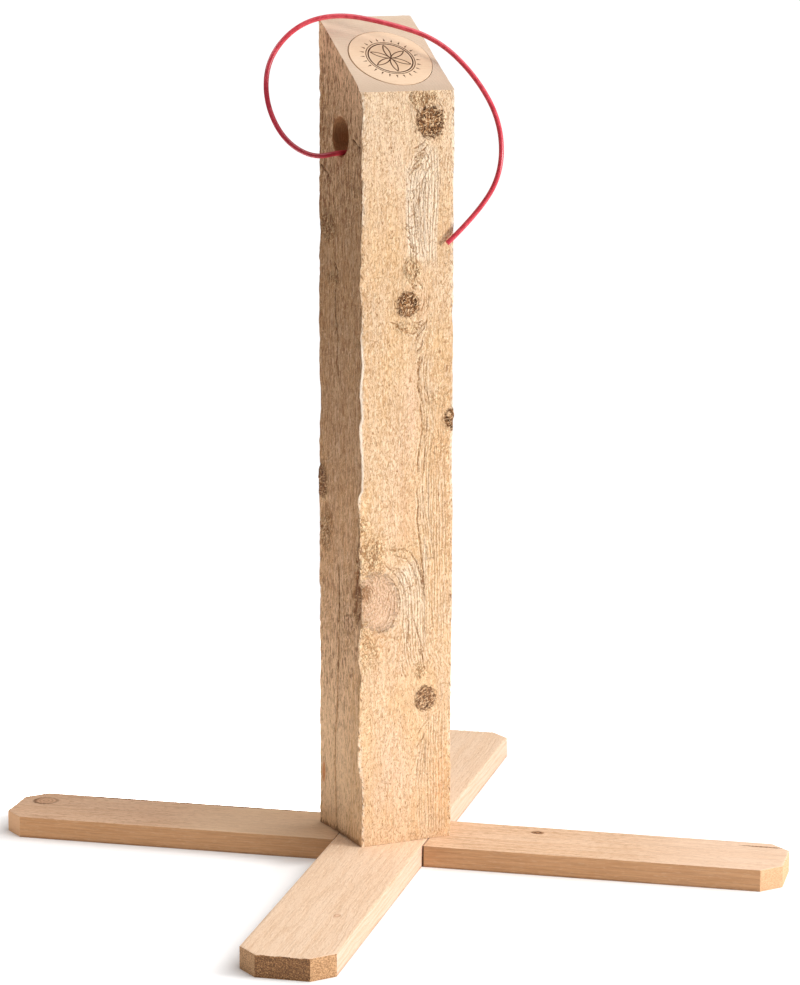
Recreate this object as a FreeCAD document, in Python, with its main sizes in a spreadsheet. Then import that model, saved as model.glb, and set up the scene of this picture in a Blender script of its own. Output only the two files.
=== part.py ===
import FreeCAD, Part
import math
import os
import sys

# Cat scratching post: a rough-sawn square timber with a slanted top, standing
# on a cross of two planed boards. A round wooden disc is let into the slanted
# top, a bore goes through the timber below it, and a springy red cord is
# stapled to the floor of the bore and arches over the top to its free end.
#
# Frame: +Z up, millimetres. The front of the post, where the slanted top is
# lowest, looks along -Y, and the bore runs along X. The origin is on the floor,
# at the middle of the plan box of the timber and the two boards.

V = FreeCAD.Vector
doc = FreeCAD.newDocument("scratching_post")

# ---------------------------------------------------------------- dimensions

sheet = doc.addObject("Spreadsheet::Sheet", "dims")
DIMS = [
    ("post_width", 100.0, "across the front face"),
    ("post_depth", 100.0, "front face to back face"),
    ("post_front", 761.4, "height of the front face above the boards"),
    ("post_back", 829.3, "height of the back face above the boards"),
    ("post_across", -3.5, "middle of the post, X"),
    ("post_along", 8.0, "middle of the post, Y"),
    ("board_length", 816.0, "each board, end to end"),
    ("board_width", 92.7, "each board"),
    ("board_thick", 22.25, "each board"),
    ("board_corner", 20.0, "clipped corner, along each side"),
    ("board_turn", 38.83, "the boards' angle to the post, degrees"),
    ("lap_across", -2.33, "middle of the cross, X"),
    ("lap_along", 2.7, "middle of the cross, Y"),
    ("reach_left", 405.0, "middle of the cross to the left end"),
    ("reach_front", 411.5, "middle of the cross to the front end"),
    ("lap_depth", 11.125, "half of the thickness, cut from each board"),
    ("lap_slack", 1.6, "how much wider each notch is than the board in it"),
    ("lap_shift", 0.4, "the upper notch lies this far towards the right end"),
    ("bore_diameter", 38.0, "through the post, along X"),
    ("bore_height", 714.75, "middle of the bore above the boards"),
    ("bore_offset", 1.5, "middle of the bore behind the middle of the post"),
    ("disc_diameter", 85.0, "let into the slanted top"),
    ("disc_thick", 4.0, "the disc"),
    ("pocket_diameter", 86.6, "the round pocket for the disc"),
    ("pocket_depth", 3.9, "the pocket, square to the slanted top"),
    ("pocket_across", 1.0, "middle of the pocket from the post's middle"),
    ("pocket_down", 8.0, "middle of the pocket below the slope's middle"),
    ("disc_shift", 0.45, "the disc lies this far to the right and up in it"),
    ("screw_length", 70.0, "countersunk screw, overall"),
    ("screw_diameter", 5.0, "over the thread"),
    ("screw_core", 3.4, "under the thread"),
    ("screw_head", 10.0, "across the head"),
    ("screw_pitch", 3.0, "one thread ridge to the next"),
    ("screw_sunk", 0.8, "the heads lie this far inside the boards"),
    ("screw_spacing", 50.0, "square pattern, along the boards"),
    ("clearance_diameter", 5.6, "screw holes in the boards"),
    ("sink_diameter", 10.6, "countersinks in the lower board"),
    ("pilot_diameter", 5.1, "screw holes in the foot of the post"),
    ("pilot_depth", 49.5, "screw holes in the foot of the post"),
    ("cord_diameter", 5.0, "the red cord"),
    ("staple_wire", 2.0, "wire of the staple"),
    ("staple_gap", 5.4, "between its legs"),
    ("staple_leg", 17.0, "straight part of each leg"),
    ("staple_across", -20.0, "middle of the staple, X"),
    ("staple_along", 9.55, "middle of the staple, Y"),
    ("staple_height", 720.95, "centre of the staple's bend, above the floor"),
    ("staple_hole", 2.1, "holes of its legs"),
]
for row, (alias, value, note) in enumerate(DIMS, start=1):
    sheet.set("A%d" % row, note)
    sheet.set("B%d" % row, repr(value))
    sheet.setAlias("B%d" % row, alias)
doc.recompute()
D = {alias: float(sheet.get(alias)) for alias, _, _ in DIMS}

# The slope of the top, taken from the two heights.
SLOPE = "atan((dims.post_back - dims.post_front) / dims.post_depth)"


# ------------------------------------------------------------------- helpers

def plane(body, role):
    """One of a body's own origin planes."""
    return [f for f in body.Origin.OriginFeatures if f.Role == role][0]


def sketch_on(body, name, role):
    s = body.newObject("Sketcher::SketchObject", name)
    s.AttachmentSupport = [(plane(body, role), "")]
    s.MapMode = "FlatFace"
    return s


def circle(s, x, y, r, names, exprs):
    """A circle in sketch s whose place and radius follow the sheet."""
    g = s.addGeometry(Part.Circle(V(x, y, 0), V(0, 0, 1), r), False)
    for kind, value, name, expr in (
        ("DistanceX", x, names[0], exprs[0]),
        ("DistanceY", y, names[1], exprs[1]),
    ):
        if expr is None:
            # the centre lies on the sketch's axis
            s.addConstraint(Sketcher.Constraint("PointOnObject", g, 3, -2 if kind == "DistanceX" else -1))
            continue
        if value < 0:
            c = s.addConstraint(Sketcher.Constraint(kind, g, 3, -1, 1, -value))
        else:
            c = s.addConstraint(Sketcher.Constraint(kind, -1, 1, g, 3, value))
        s.renameConstraint(c, name)
        s.setExpression("Constraints." + name, expr)
    c = s.addConstraint(Sketcher.Constraint("Radius", g, r))
    s.renameConstraint(c, names[2])
    s.setExpression("Constraints." + names[2], exprs[2])
    return g


def polygon(s, points):
    """A closed outline of straight lines."""
    n = len(points)
    ids = [
        s.addGeometry(Part.LineSegment(V(*points[i], 0), V(*points[(i + 1) % n], 0)), False)
        for i in range(n)
    ]
    for i in range(n):
        s.addConstraint(Sketcher.Constraint("Coincident", ids[i], 2, ids[(i + 1) % n], 1))
    return ids


def bind(s, constraint, name, expr):
    c = s.addConstraint(constraint)
    s.renameConstraint(c, name)
    s.setExpression("Constraints." + name, expr)


def changed(before, feature, what):
    """A cut that misses the solid shows no error, so its volume is compared."""
    doc.recompute()
    after = feature.Shape.Volume
    print("%-34s %12.1f -> %12.1f mm3" % (what, before, after))
    if not after < before - 1.0:
        sys.exit("%s cut nothing" % what)
    return after


import Sketcher

# ---------------------------------------------------------- the square timber

post = doc.addObject("PartDesign::Body", "scratching_post")
post.Label = "scratching_post"

# side profile, on the YZ plane: level foot, upright front and back, slanted top
prof = sketch_on(post, "post_profile", "YZ_Plane")
w, d2 = D["post_width"], D["post_depth"] / 2
ids = polygon(prof, [(-d2, 0), (d2, 0), (d2, D["post_back"]), (-d2, D["post_front"])])
prof.addConstraint(Sketcher.Constraint("Horizontal", ids[0]))
prof.addConstraint(Sketcher.Constraint("Vertical", ids[1]))
prof.addConstraint(Sketcher.Constraint("Vertical", ids[3]))
prof.addConstraint(Sketcher.Constraint("PointOnObject", ids[0], 1, -1))
bind(prof, Sketcher.Constraint("DistanceX", ids[0], 1, -1, 1, d2), "front", "dims.post_depth / 2")
bind(prof, Sketcher.Constraint("DistanceX", -1, 1, ids[0], 2, d2), "back", "dims.post_depth / 2")
bind(prof, Sketcher.Constraint("DistanceY", ids[1], 1, ids[1], 2, D["post_back"]), "high", "dims.post_back")
bind(prof, Sketcher.Constraint("DistanceY", ids[3], 2, ids[3], 1, D["post_front"]), "low", "dims.post_front")
timber = post.newObject("PartDesign::Pad", "post_timber")
timber.Profile = prof
timber.Midplane = True
timber.Length = w
timber.setExpression("Length", "dims.post_width")
doc.recompute()
vol = timber.Shape.Volume

# the bore, through the left and right faces
bore_s = sketch_on(post, "bore_sketch", "YZ_Plane")
circle(
    bore_s, D["bore_offset"], D["bore_height"], D["bore_diameter"] / 2,
    ("bore_y", "bore_z", "bore_r"),
    ("dims.bore_offset", "dims.bore_height", "dims.bore_diameter / 2"),
)
bore = post.newObject("PartDesign::Pocket", "post_bore")
bore.Profile = bore_s
bore.Midplane = True
bore.Type = "Length"
bore.Length = 2 * w
bore.setExpression("Length", "2 * dims.post_width")
vol = changed(vol, bore, "bore")

# the round pocket in the slanted top: a rectangle turned about an axis that is
# square to the slope. The sketch's own X runs up the slope.
pocket_s = sketch_on(post, "disc_pocket_sketch", "YZ_Plane")
slope = math.atan((D["post_back"] - D["post_front"]) / D["post_depth"])
pocket_s.AttachmentOffset = FreeCAD.Placement(V(0, 0, 0), FreeCAD.Rotation(V(0, 0, 1), math.degrees(slope)))
pocket_s.setExpression("AttachmentOffset.Rotation.Angle", SLOPE)
pocket_s.setExpression("AttachmentOffset.Base.x", "-dims.pocket_down * cos(%s)" % SLOPE)
pocket_s.setExpression(
    "AttachmentOffset.Base.y",
    "(dims.post_front + dims.post_back) / 2 - dims.pocket_down * sin(%s)" % SLOPE,
)
pocket_s.setExpression("AttachmentOffset.Base.z", "dims.pocket_across")
pr, pd = D["pocket_diameter"] / 2, D["pocket_depth"]
ids = polygon(pocket_s, [(0, -pd), (pr, -pd), (pr, 2.0), (0, 2.0)])
pocket_s.addConstraint(Sketcher.Constraint("Horizontal", ids[0]))
pocket_s.addConstraint(Sketcher.Constraint("Vertical", ids[1]))
pocket_s.addConstraint(Sketcher.Constraint("Horizontal", ids[2]))
pocket_s.addConstraint(Sketcher.Constraint("PointOnObject", ids[0], 1, -2))
pocket_s.addConstraint(Sketcher.Constraint("PointOnObject", ids[2], 2, -2))
bind(pocket_s, Sketcher.Constraint("DistanceX", ids[0], 1, ids[0], 2, pr), "radius", "dims.pocket_diameter / 2")
bind(pocket_s, Sketcher.Constraint("DistanceY", ids[0], 1, -1, 1, pd), "deep", "dims.pocket_depth")
pocket_s.addConstraint(Sketcher.Constraint("DistanceY", -1, 1, ids[2], 1, 2.0))
pocket = post.newObject("PartDesign::Groove", "disc_pocket")
pocket.Profile = pocket_s
pocket.ReferenceAxis = (pocket_s, ["V_Axis"])
pocket.Angle = 360.0
vol = changed(vol, pocket, "disc pocket")

# four pilot holes in the foot, in a square along the boards
half = D["screw_spacing"] / 2
pilot_s = sketch_on(post, "pilot_sketch", "XY_Plane")
pilot_s.AttachmentOffset = FreeCAD.Placement(V(0, 0, 0), FreeCAD.Rotation(V(0, 0, 1), -D["board_turn"]))
pilot_s.setExpression("AttachmentOffset.Rotation.Angle", "-dims.board_turn")
pilot_s.setExpression("AttachmentOffset.Base.x", "dims.lap_across - dims.post_across")
pilot_s.setExpression("AttachmentOffset.Base.y", "dims.lap_along - dims.post_along")
for i, (sx, sy) in enumerate(((-1, -1), (1, -1), (1, 1), (-1, 1))):
    circle(
        pilot_s, sx * half, sy * half, D["pilot_diameter"] / 2,
        ("px%d" % i, "py%d" % i, "pr%d" % i),
        ("dims.screw_spacing / 2", "dims.screw_spacing / 2", "dims.pilot_diameter / 2"),
    )
pilots = post.newObject("PartDesign::Pocket", "pilot_holes")
pilots.Profile = pilot_s
pilots.Reversed = True
pilots.Type = "Length"
pilots.Length = D["pilot_depth"]
pilots.setExpression("Length", "dims.pilot_depth")
vol = changed(vol, pilots, "pilot holes")

# two holes in the floor of the bore for the staple's legs
leg_s = sketch_on(post, "staple_hole_sketch", "XY_Plane")
leg_s.setExpression("AttachmentOffset.Base.x", "dims.staple_across - dims.post_across")
leg_s.setExpression("AttachmentOffset.Base.y", "dims.staple_along - dims.post_along")
leg_s.setExpression("AttachmentOffset.Base.z", "dims.bore_height")
off = (D["staple_gap"] + D["staple_wire"]) / 2
for i, sy in enumerate((-1, 1)):
    circle(
        leg_s, 0, sy * off, D["staple_hole"] / 2,
        ("sx%d" % i, "sy%d" % i, "sr%d" % i),
        (None, "(dims.staple_gap + dims.staple_wire) / 2", "dims.staple_hole / 2"),
    )
legs = post.newObject("PartDesign::Pocket", "staple_holes")
legs.Profile = leg_s
legs.Type = "Length"
LEG_HOLE = "dims.bore_height + dims.board_thick - dims.staple_height + dims.staple_leg + 0.5"
legs.Length = D["bore_height"] + D["board_thick"] - D["staple_height"] + D["staple_leg"] + 0.5
legs.setExpression("Length", LEG_HOLE)
vol = changed(vol, legs, "staple holes")
post.Tip = legs
post.setExpression("Placement.Base.x", "dims.post_across")
post.setExpression("Placement.Base.y", "dims.post_along")
post.setExpression("Placement.Base.z", "dims.board_thick")


# ------------------------------------------------------------ the two boards

def board(name, reach, reach_expr, turn_expr, upper):
    """A planed board along its own X, with its lap at its own origin.

    upper: the board whose notch is in its upper half, which the other board's
    upper half fills. The screw heads are sunk into this board's underside.
    """
    b = doc.addObject("PartDesign::Body", name)
    b.Label = name
    o = sketch_on(b, name + "_outline", "XY_Plane")
    half_w, other = D["board_width"] / 2, D["board_length"] - reach
    e = polygon(o, [(-reach, -half_w), (other, -half_w), (other, half_w), (-reach, half_w)])
    for k in (0, 2):
        o.addConstraint(Sketcher.Constraint("Horizontal", e[k]))
    for k in (1, 3):
        o.addConstraint(Sketcher.Constraint("Vertical", e[k]))
    bind(o, Sketcher.Constraint("DistanceX", e[0], 1, -1, 1, reach), "reach", reach_expr)
    bind(o, Sketcher.Constraint("DistanceX", e[0], 1, e[0], 2, D["board_length"]), "long", "dims.board_length")
    bind(o, Sketcher.Constraint("DistanceY", e[0], 1, -1, 1, half_w), "side", "dims.board_width / 2")
    bind(o, Sketcher.Constraint("DistanceY", e[1], 1, e[1], 2, D["board_width"]), "wide", "dims.board_width")
    pad = b.newObject("PartDesign::Pad", name + "_plank")
    pad.Profile = o
    pad.Length = D["board_thick"]
    pad.setExpression("Length", "dims.board_thick")
    doc.recompute()

    # the four clipped corners
    upright = []
    for n, edge in enumerate(pad.Shape.Edges, start=1):
        a, c = edge.Vertexes[0].Point, edge.Vertexes[-1].Point
        if abs(a.x - c.x) < 1e-6 and abs(a.y - c.y) < 1e-6:
            upright.append("Edge%d" % n)
    clip = b.newObject("PartDesign::Chamfer", name + "_corners")
    clip.Base = (pad, upright)
    clip.Size = D["board_corner"]
    clip.setExpression("Size", "dims.board_corner")
    v = changed(pad.Shape.Volume, clip, name + " corners")

    # the notch of the half-lap, right across the board
    n = sketch_on(b, name + "_notch_sketch", "XY_Plane")
    shift = D["lap_shift"] if upper else 0.0
    hw = (D["board_width"] + D["lap_slack"]) / 2
    q = polygon(n, [(shift - hw, -80), (shift + hw, -80), (shift + hw, 80), (shift - hw, 80)])
    for k in (0, 2):
        n.addConstraint(Sketcher.Constraint("Horizontal", q[k]))
    for k in (1, 3):
        n.addConstraint(Sketcher.Constraint("Vertical", q[k]))
    n.addConstraint(Sketcher.Constraint("DistanceY", q[0], 1, -1, 1, 80))
    n.addConstraint(Sketcher.Constraint("DistanceY", -1, 1, q[2], 1, 80))
    bind(n, Sketcher.Constraint("DistanceX", q[0], 1, q[0], 2, 2 * hw), "wide", "dims.board_width + dims.lap_slack")
    bind(
        n, Sketcher.Constraint("DistanceX", q[0], 1, -1, 1, hw - shift), "from_left",
        "(dims.board_width + dims.lap_slack) / 2" + (" - dims.lap_shift" if upper else ""),
    )
    notch = b.newObject("PartDesign::Pocket", name + "_notch")
    if upper:
        n.setExpression("AttachmentOffset.Base.z", "dims.board_thick")
    notch.Profile = n
    notch.Reversed = not upper
    notch.Type = "Length"
    notch.Length = D["lap_depth"]
    notch.setExpression("Length", "dims.lap_depth")
    v = changed(v, notch, name + " notch")

    # the screw holes through what is left at the lap
    h = sketch_on(b, name + "_hole_sketch", "XY_Plane")
    for i, (sx, sy) in enumerate(((-1, -1), (1, -1), (1, 1), (-1, 1))):
        circle(
            h, sx * half, sy * half, D["clearance_diameter"] / 2,
            ("hx%d" % i, "hy%d" % i, "hr%d" % i),
            ("dims.screw_spacing / 2", "dims.screw_spacing / 2", "dims.clearance_diameter / 2"),
        )
    holes = b.newObject("PartDesign::Pocket", name + "_holes")
    holes.Profile = h
    holes.Reversed = True
    holes.Type = "Length"
    holes.Length = 2 * D["board_thick"]
    holes.setExpression("Length", "2 * dims.board_thick")
    v = changed(v, holes, name + " holes")
    tip = holes
    if upper:
        # countersinks: a cone's half profile beside the first hole's axis,
        # then the same in a row and the row again beside it
        c = sketch_on(b, name + "_sink_sketch", "XZ_Plane")
        c.AttachmentOffset = FreeCAD.Placement(V(-half, 0, half), FreeCAD.Rotation())
        c.setExpression("AttachmentOffset.Base.x", "-dims.screw_spacing / 2")
        c.setExpression("AttachmentOffset.Base.z", "dims.screw_spacing / 2")
        r1, r2, rec = D["sink_diameter"] / 2, D["clearance_diameter"] / 2, D["screw_sunk"]
        t = polygon(c, [(0, -1), (r1, -1), (r1, rec), (r2, rec + r1 - r2), (0, rec + r1 - r2)])
        c.addConstraint(Sketcher.Constraint("Horizontal", t[0]))
        c.addConstraint(Sketcher.Constraint("Vertical", t[1]))
        c.addConstraint(Sketcher.Constraint("Horizontal", t[3]))
        c.addConstraint(Sketcher.Constraint("PointOnObject", t[0], 1, -2))
        c.addConstraint(Sketcher.Constraint("PointOnObject", t[3], 2, -2))
        c.addConstraint(Sketcher.Constraint("DistanceY", t[0], 1, -1, 1, 1.0))
        bind(c, Sketcher.Constraint("DistanceX", -1, 1, t[1], 2, r1), "mouth", "dims.sink_diameter / 2")
        bind(c, Sketcher.Constraint("DistanceY", -1, 1, t[1], 2, rec), "sunk", "dims.screw_sunk")
        bind(c, Sketcher.Constraint("DistanceX", t[3], 2, t[3], 1, r2), "throat", "dims.clearance_diameter / 2")
        bind(
            c, Sketcher.Constraint("DistanceY", t[2], 1, t[2], 2, r1 - r2), "cone",
            "(dims.sink_diameter - dims.clearance_diameter) / 2",
        )
        sink = b.newObject("PartDesign::Groove", name + "_sink")
        sink.Profile = c
        sink.ReferenceAxis = (c, ["V_Axis"])
        sink.Angle = 360.0
        v = changed(v, sink, name + " countersink")
        many = b.newObject("PartDesign::MultiTransform", name + "_sinks")
        many.Originals = [sink]
        rows = []
        for axis, tag in (("X_Axis", "across"), ("Y_Axis", "along")):
            pat = doc.addObject("PartDesign::LinearPattern", name + "_sinks_" + tag)
            pat.Direction = ([f for f in b.Origin.OriginFeatures if f.Role == axis][0], [""])
            pat.Length = D["screw_spacing"]
            pat.setExpression("Length", "dims.screw_spacing")
            pat.Occurrences = 2
            rows.append(pat)
        many.Transformations = rows
        b.Tip = many
        v = changed(v, many, name + " countersinks")
        tip = many
    b.Tip = tip
    b.Placement = FreeCAD.Placement(V(0, 0, 0), FreeCAD.Rotation(V(0, 0, 1), 0))
    b.setExpression("Placement.Rotation.Angle", turn_expr)
    b.setExpression("Placement.Base.x", "dims.lap_across")
    b.setExpression("Placement.Base.y", "dims.lap_along")
    return b


# The board whose arms point left and right in the front view keeps its lower
# half at the lap, and the one from front to back keeps its upper half.
left_right = board("base_board_left_right", D["reach_left"], "dims.reach_left", "-dims.board_turn", True)
front_back = board("base_board_front_back", D["reach_front"], "dims.reach_front", "90 - dims.board_turn", False)

# ------------------------------------------------------------------ screws

# one countersunk screw, head down, along its own +Z
screw = doc.addObject("PartDesign::Body", "base_screw_body")
ss = sketch_on(screw, "screw_profile", "XZ_Plane")
hr, sr, cr, sl = D["screw_head"] / 2, D["screw_diameter"] / 2, D["screw_core"] / 2, D["screw_length"]
pts = [(0, 0), (hr, 0), (hr, 0.25), (sr - 0.1, 0.25 + hr - sr + 0.1), (sr - 0.1, 24), (cr, 24.8), (cr, sl - 5), (0, sl)]
e = polygon(ss, pts)
for k in (0,):
    ss.addConstraint(Sketcher.Constraint("Horizontal", e[k]))
for k in (1, 3, 5, 7):
    ss.addConstraint(Sketcher.Constraint("Vertical", e[k]))
ss.addConstraint(Sketcher.Constraint("Coincident", e[0], 1, -1, 1))
bind(ss, Sketcher.Constraint("DistanceX", e[0], 1, e[0], 2, hr), "head", "dims.screw_head / 2")
ss.addConstraint(Sketcher.Constraint("DistanceY", e[1], 1, e[1], 2, 0.25))
bind(ss, Sketcher.Constraint("DistanceX", -1, 1, e[2], 2, sr - 0.1), "shank", "dims.screw_diameter / 2 - 0.1")
bind(
    ss, Sketcher.Constraint("DistanceY", e[2], 1, e[2], 2, hr - sr + 0.1), "cone",
    "dims.screw_head / 2 - dims.screw_diameter / 2 + 0.1",
)
ss.addConstraint(Sketcher.Constraint("DistanceY", -1, 1, e[3], 2, 24))
ss.addConstraint(Sketcher.Constraint("DistanceY", e[4], 1, e[4], 2, 0.8))
bind(ss, Sketcher.Constraint("DistanceX", -1, 1, e[4], 2, cr), "core", "dims.screw_core / 2")
bind(ss, Sketcher.Constraint("DistanceY", -1, 1, e[7], 1, sl), "long", "dims.screw_length")
ss.addConstraint(Sketcher.Constraint("DistanceY", e[6], 1, e[6], 2, 5))
rod = screw.newObject("PartDesign::Revolution", "screw_rod")
rod.Profile = ss
rod.ReferenceAxis = (ss, ["V_Axis"])
rod.Angle = 360.0
doc.recompute()
rod_volume = rod.Shape.Volume

# thread ridges: one ring, repeated along the screw
ts = sketch_on(screw, "screw_thread_profile", "XZ_Plane")
r = polygon(ts, [(cr - 0.3, 26.2), (cr, 26.2), (sr, 27.0), (sr, 27.15), (cr, 27.6), (cr - 0.3, 27.6)])
ridge = screw.newObject("PartDesign::Revolution", "screw_ridge")
ridge.Profile = ts
ridge.ReferenceAxis = (ts, ["V_Axis"])
ridge.Angle = 360.0
doc.recompute()
thread = screw.newObject("PartDesign::LinearPattern", "screw_thread")
thread.Originals = [ridge]
thread.Direction = ([f for f in screw.Origin.OriginFeatures if f.Role == "Z_Axis"][0], [""])
thread.Length = 36.0
thread.setExpression("Length", "12 * dims.screw_pitch")
thread.Occurrences = 13
screw.Tip = thread
doc.recompute()
if not thread.Shape.Volume > ridge.Shape.Volume + 10:
    sys.exit("the thread's rings weren't repeated")

# the cross recess in the head
xs = sketch_on(screw, "screw_recess_sketch", "XY_Plane")
a, b2 = 2.6, 0.55
polygon(xs, [(a, -b2), (a, b2), (b2, b2), (b2, a), (-b2, a), (-b2, b2), (-a, b2), (-a, -b2), (-b2, -b2), (-b2, -a), (b2, -a), (b2, -b2)])
recess = screw.newObject("PartDesign::Pocket", "screw_recess")
recess.Profile = xs
recess.Reversed = True
recess.Type = "Length"
recess.Length = 2.2
changed(thread.Shape.Volume, recess, "screw recess")
screw.Tip = recess
screw.Placement = FreeCAD.Placement(V(0, 0, 0), FreeCAD.Rotation(V(0, 0, 1), 0))
screw.setExpression("Placement.Rotation.Angle", "-dims.board_turn")
screw.setExpression(
    "Placement.Base.x",
    "dims.lap_across - dims.screw_spacing / 2 * (cos(dims.board_turn) + sin(dims.board_turn))",
)
screw.setExpression(
    "Placement.Base.y",
    "dims.lap_along + dims.screw_spacing / 2 * (sin(dims.board_turn) - cos(dims.board_turn))",
)
screw.setExpression("Placement.Base.z", "dims.screw_sunk")
doc.recompute()

# mirrored across the middle of one board, and both across the other's: four
# separate solids in one node
turn = math.radians(D["board_turn"])
u_dir = V(math.cos(turn), -math.sin(turn), 0)
v_dir = V(math.sin(turn), math.cos(turn), 0)
lap = V(D["lap_across"], D["lap_along"], 0)


def mirrored(name, source, normal, exprs):
    m = doc.addObject("Part::Mirroring", name)
    m.Source = source
    m.Base = lap
    m.Normal = normal
    m.setExpression("Base.x", "dims.lap_across")
    m.setExpression("Base.y", "dims.lap_along")
    m.setExpression("Normal.x", exprs[0])
    m.setExpression("Normal.y", exprs[1])
    return m


m1 = mirrored("base_screw_second", screw, u_dir, ("cos(dims.board_turn)", "-sin(dims.board_turn)"))
pair = doc.addObject("Part::Compound", "base_screw_pair")
pair.Links = [screw, m1]
doc.recompute()
m2 = mirrored("base_screw_other_pair", pair, v_dir, ("sin(dims.board_turn)", "cos(dims.board_turn)"))
screws = doc.addObject("Part::Compound", "base_screws")
screws.Label = "base_screws"
screws.Links = [pair, m2]
doc.recompute()

# ------------------------------------------------------------------ the disc

disc = doc.addObject("PartDesign::Body", "label_disc")
disc.Label = "label_disc"
ds = sketch_on(disc, "disc_sketch", "XY_Plane")
g = ds.addGeometry(Part.Circle(V(0, 0, 0), V(0, 0, 1), D["disc_diameter"] / 2), False)
ds.addConstraint(Sketcher.Constraint("Coincident", g, 3, -1, 1))
bind(ds, Sketcher.Constraint("Radius", g, D["disc_diameter"] / 2), "radius", "dims.disc_diameter / 2")
dp = disc.newObject("PartDesign::Pad", "disc_wood")
dp.Profile = ds
dp.Length = D["disc_thick"]
dp.setExpression("Length", "dims.disc_thick")
doc.recompute()
rim = [
    "Edge%d" % n
    for n, edge in enumerate(dp.Shape.Edges, start=1)
    if len(edge.Vertexes) == 1 and abs(edge.Vertexes[0].Point.z - D["disc_thick"]) < 1e-6
]
df = disc.newObject("PartDesign::Fillet", "disc_rim")
df.Base = (dp, rim)
df.Radius = 0.4
changed(dp.Shape.Volume, df, "disc rim")
disc.Tip = df
disc.Placement = FreeCAD.Placement(V(0, 0, 0), FreeCAD.Rotation(V(1, 0, 0), math.degrees(slope)))
disc.setExpression("Placement.Rotation.Angle", SLOPE)
disc.setExpression("Placement.Base.x", "dims.post_across + dims.pocket_across + dims.disc_shift")
disc.setExpression(
    "Placement.Base.y",
    "dims.post_along + (dims.disc_shift - dims.pocket_down) * cos(%s) + dims.pocket_depth * sin(%s)" % (SLOPE, SLOPE),
)
disc.setExpression(
    "Placement.Base.z",
    "dims.board_thick + (dims.post_front + dims.post_back) / 2 + (dims.disc_shift - dims.pocket_down) * sin(%s)"
    " - dims.pocket_depth * cos(%s)" % (SLOPE, SLOPE),
)

# ---------------------------------------------------------------- the staple

staple = doc.addObject("PartDesign::Body", "cord_staple")
staple.Label = "cord_staple"
ps = sketch_on(staple, "staple_path", "YZ_Plane")
so, leg = (D["staple_gap"] + D["staple_wire"]) / 2, D["staple_leg"]
l1 = ps.addGeometry(Part.LineSegment(V(-so, -leg, 0), V(-so, 0, 0)), False)
arc = ps.addGeometry(Part.ArcOfCircle(Part.Circle(V(0, 0, 0), V(0, 0, 1), so), 0, math.pi), False)
l2 = ps.addGeometry(Part.LineSegment(V(so, 0, 0), V(so, -leg, 0)), False)
ps.addConstraint(Sketcher.Constraint("Coincident", arc, 3, -1, 1))
ps.addConstraint(Sketcher.Constraint("Tangent", l1, 2, arc, 2))
ps.addConstraint(Sketcher.Constraint("Tangent", arc, 1, l2, 1))
ps.addConstraint(Sketcher.Constraint("Vertical", l1))
ps.addConstraint(Sketcher.Constraint("Vertical", l2))
bind(ps, Sketcher.Constraint("Radius", arc, so), "bend", "(dims.staple_gap + dims.staple_wire) / 2")
bind(ps, Sketcher.Constraint("DistanceY", l1, 1, l1, 2, leg), "leg_a", "dims.staple_leg")
bind(ps, Sketcher.Constraint("DistanceY", l2, 2, l2, 1, leg), "leg_b", "dims.staple_leg")
ws = sketch_on(staple, "staple_section", "XY_Plane")
ws.AttachmentOffset = FreeCAD.Placement(V(0, -so, -leg), FreeCAD.Rotation())
ws.setExpression("AttachmentOffset.Base.y", "-(dims.staple_gap + dims.staple_wire) / 2")
ws.setExpression("AttachmentOffset.Base.z", "-dims.staple_leg")
g = ws.addGeometry(Part.Circle(V(0, 0, 0), V(0, 0, 1), D["staple_wire"] / 2), False)
ws.addConstraint(Sketcher.Constraint("Coincident", g, 3, -1, 1))
bind(ws, Sketcher.Constraint("Radius", g, D["staple_wire"] / 2), "wire", "dims.staple_wire / 2")
wire = staple.newObject("PartDesign::AdditivePipe", "staple_wire_pipe")
wire.Profile = ws
wire.Spine = (ps, ["Edge1", "Edge2", "Edge3"])
staple.Tip = wire
staple.setExpression("Placement.Base.x", "dims.staple_across")
staple.setExpression("Placement.Base.y", "dims.staple_along")
staple.setExpression("Placement.Base.z", "dims.staple_height")
doc.recompute()

# ------------------------------------------------------------------ the cord

# The route's points, from the stapled end on the floor of the bore to the free
# end in front of the front face. It leaves the bore over its lower lip on the
# left face, bends round to the left and up, goes over the top well clear of the
# slope, and comes down on the right.
ROUTE = [
    (-10.0, 9.8, 720.9),
    (-31.0, 9.4, 720.9),
    (-53.0, 9.5, 721.7),
    (-82.0, 12.2, 716.6),
    (-107.1, 27.8, 735.0),
    (-119.5, 42.3, 772.3),
    (-112.9, 50.5, 812.7),
    (-83.9, 46.1, 845.5),
    (-45.7, 32.4, 856.4),
    (-1.5, 11.2, 847.4),
    (42.6, -11.8, 832.0),
    (74.3, -33.7, 796.0),
    (93.2, -51.5, 751.9),
    (90.9, -60.4, 703.3),
    (68.0, -57.5, 664.6),
    (36.4, -49.0, 633.5),
]


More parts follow.
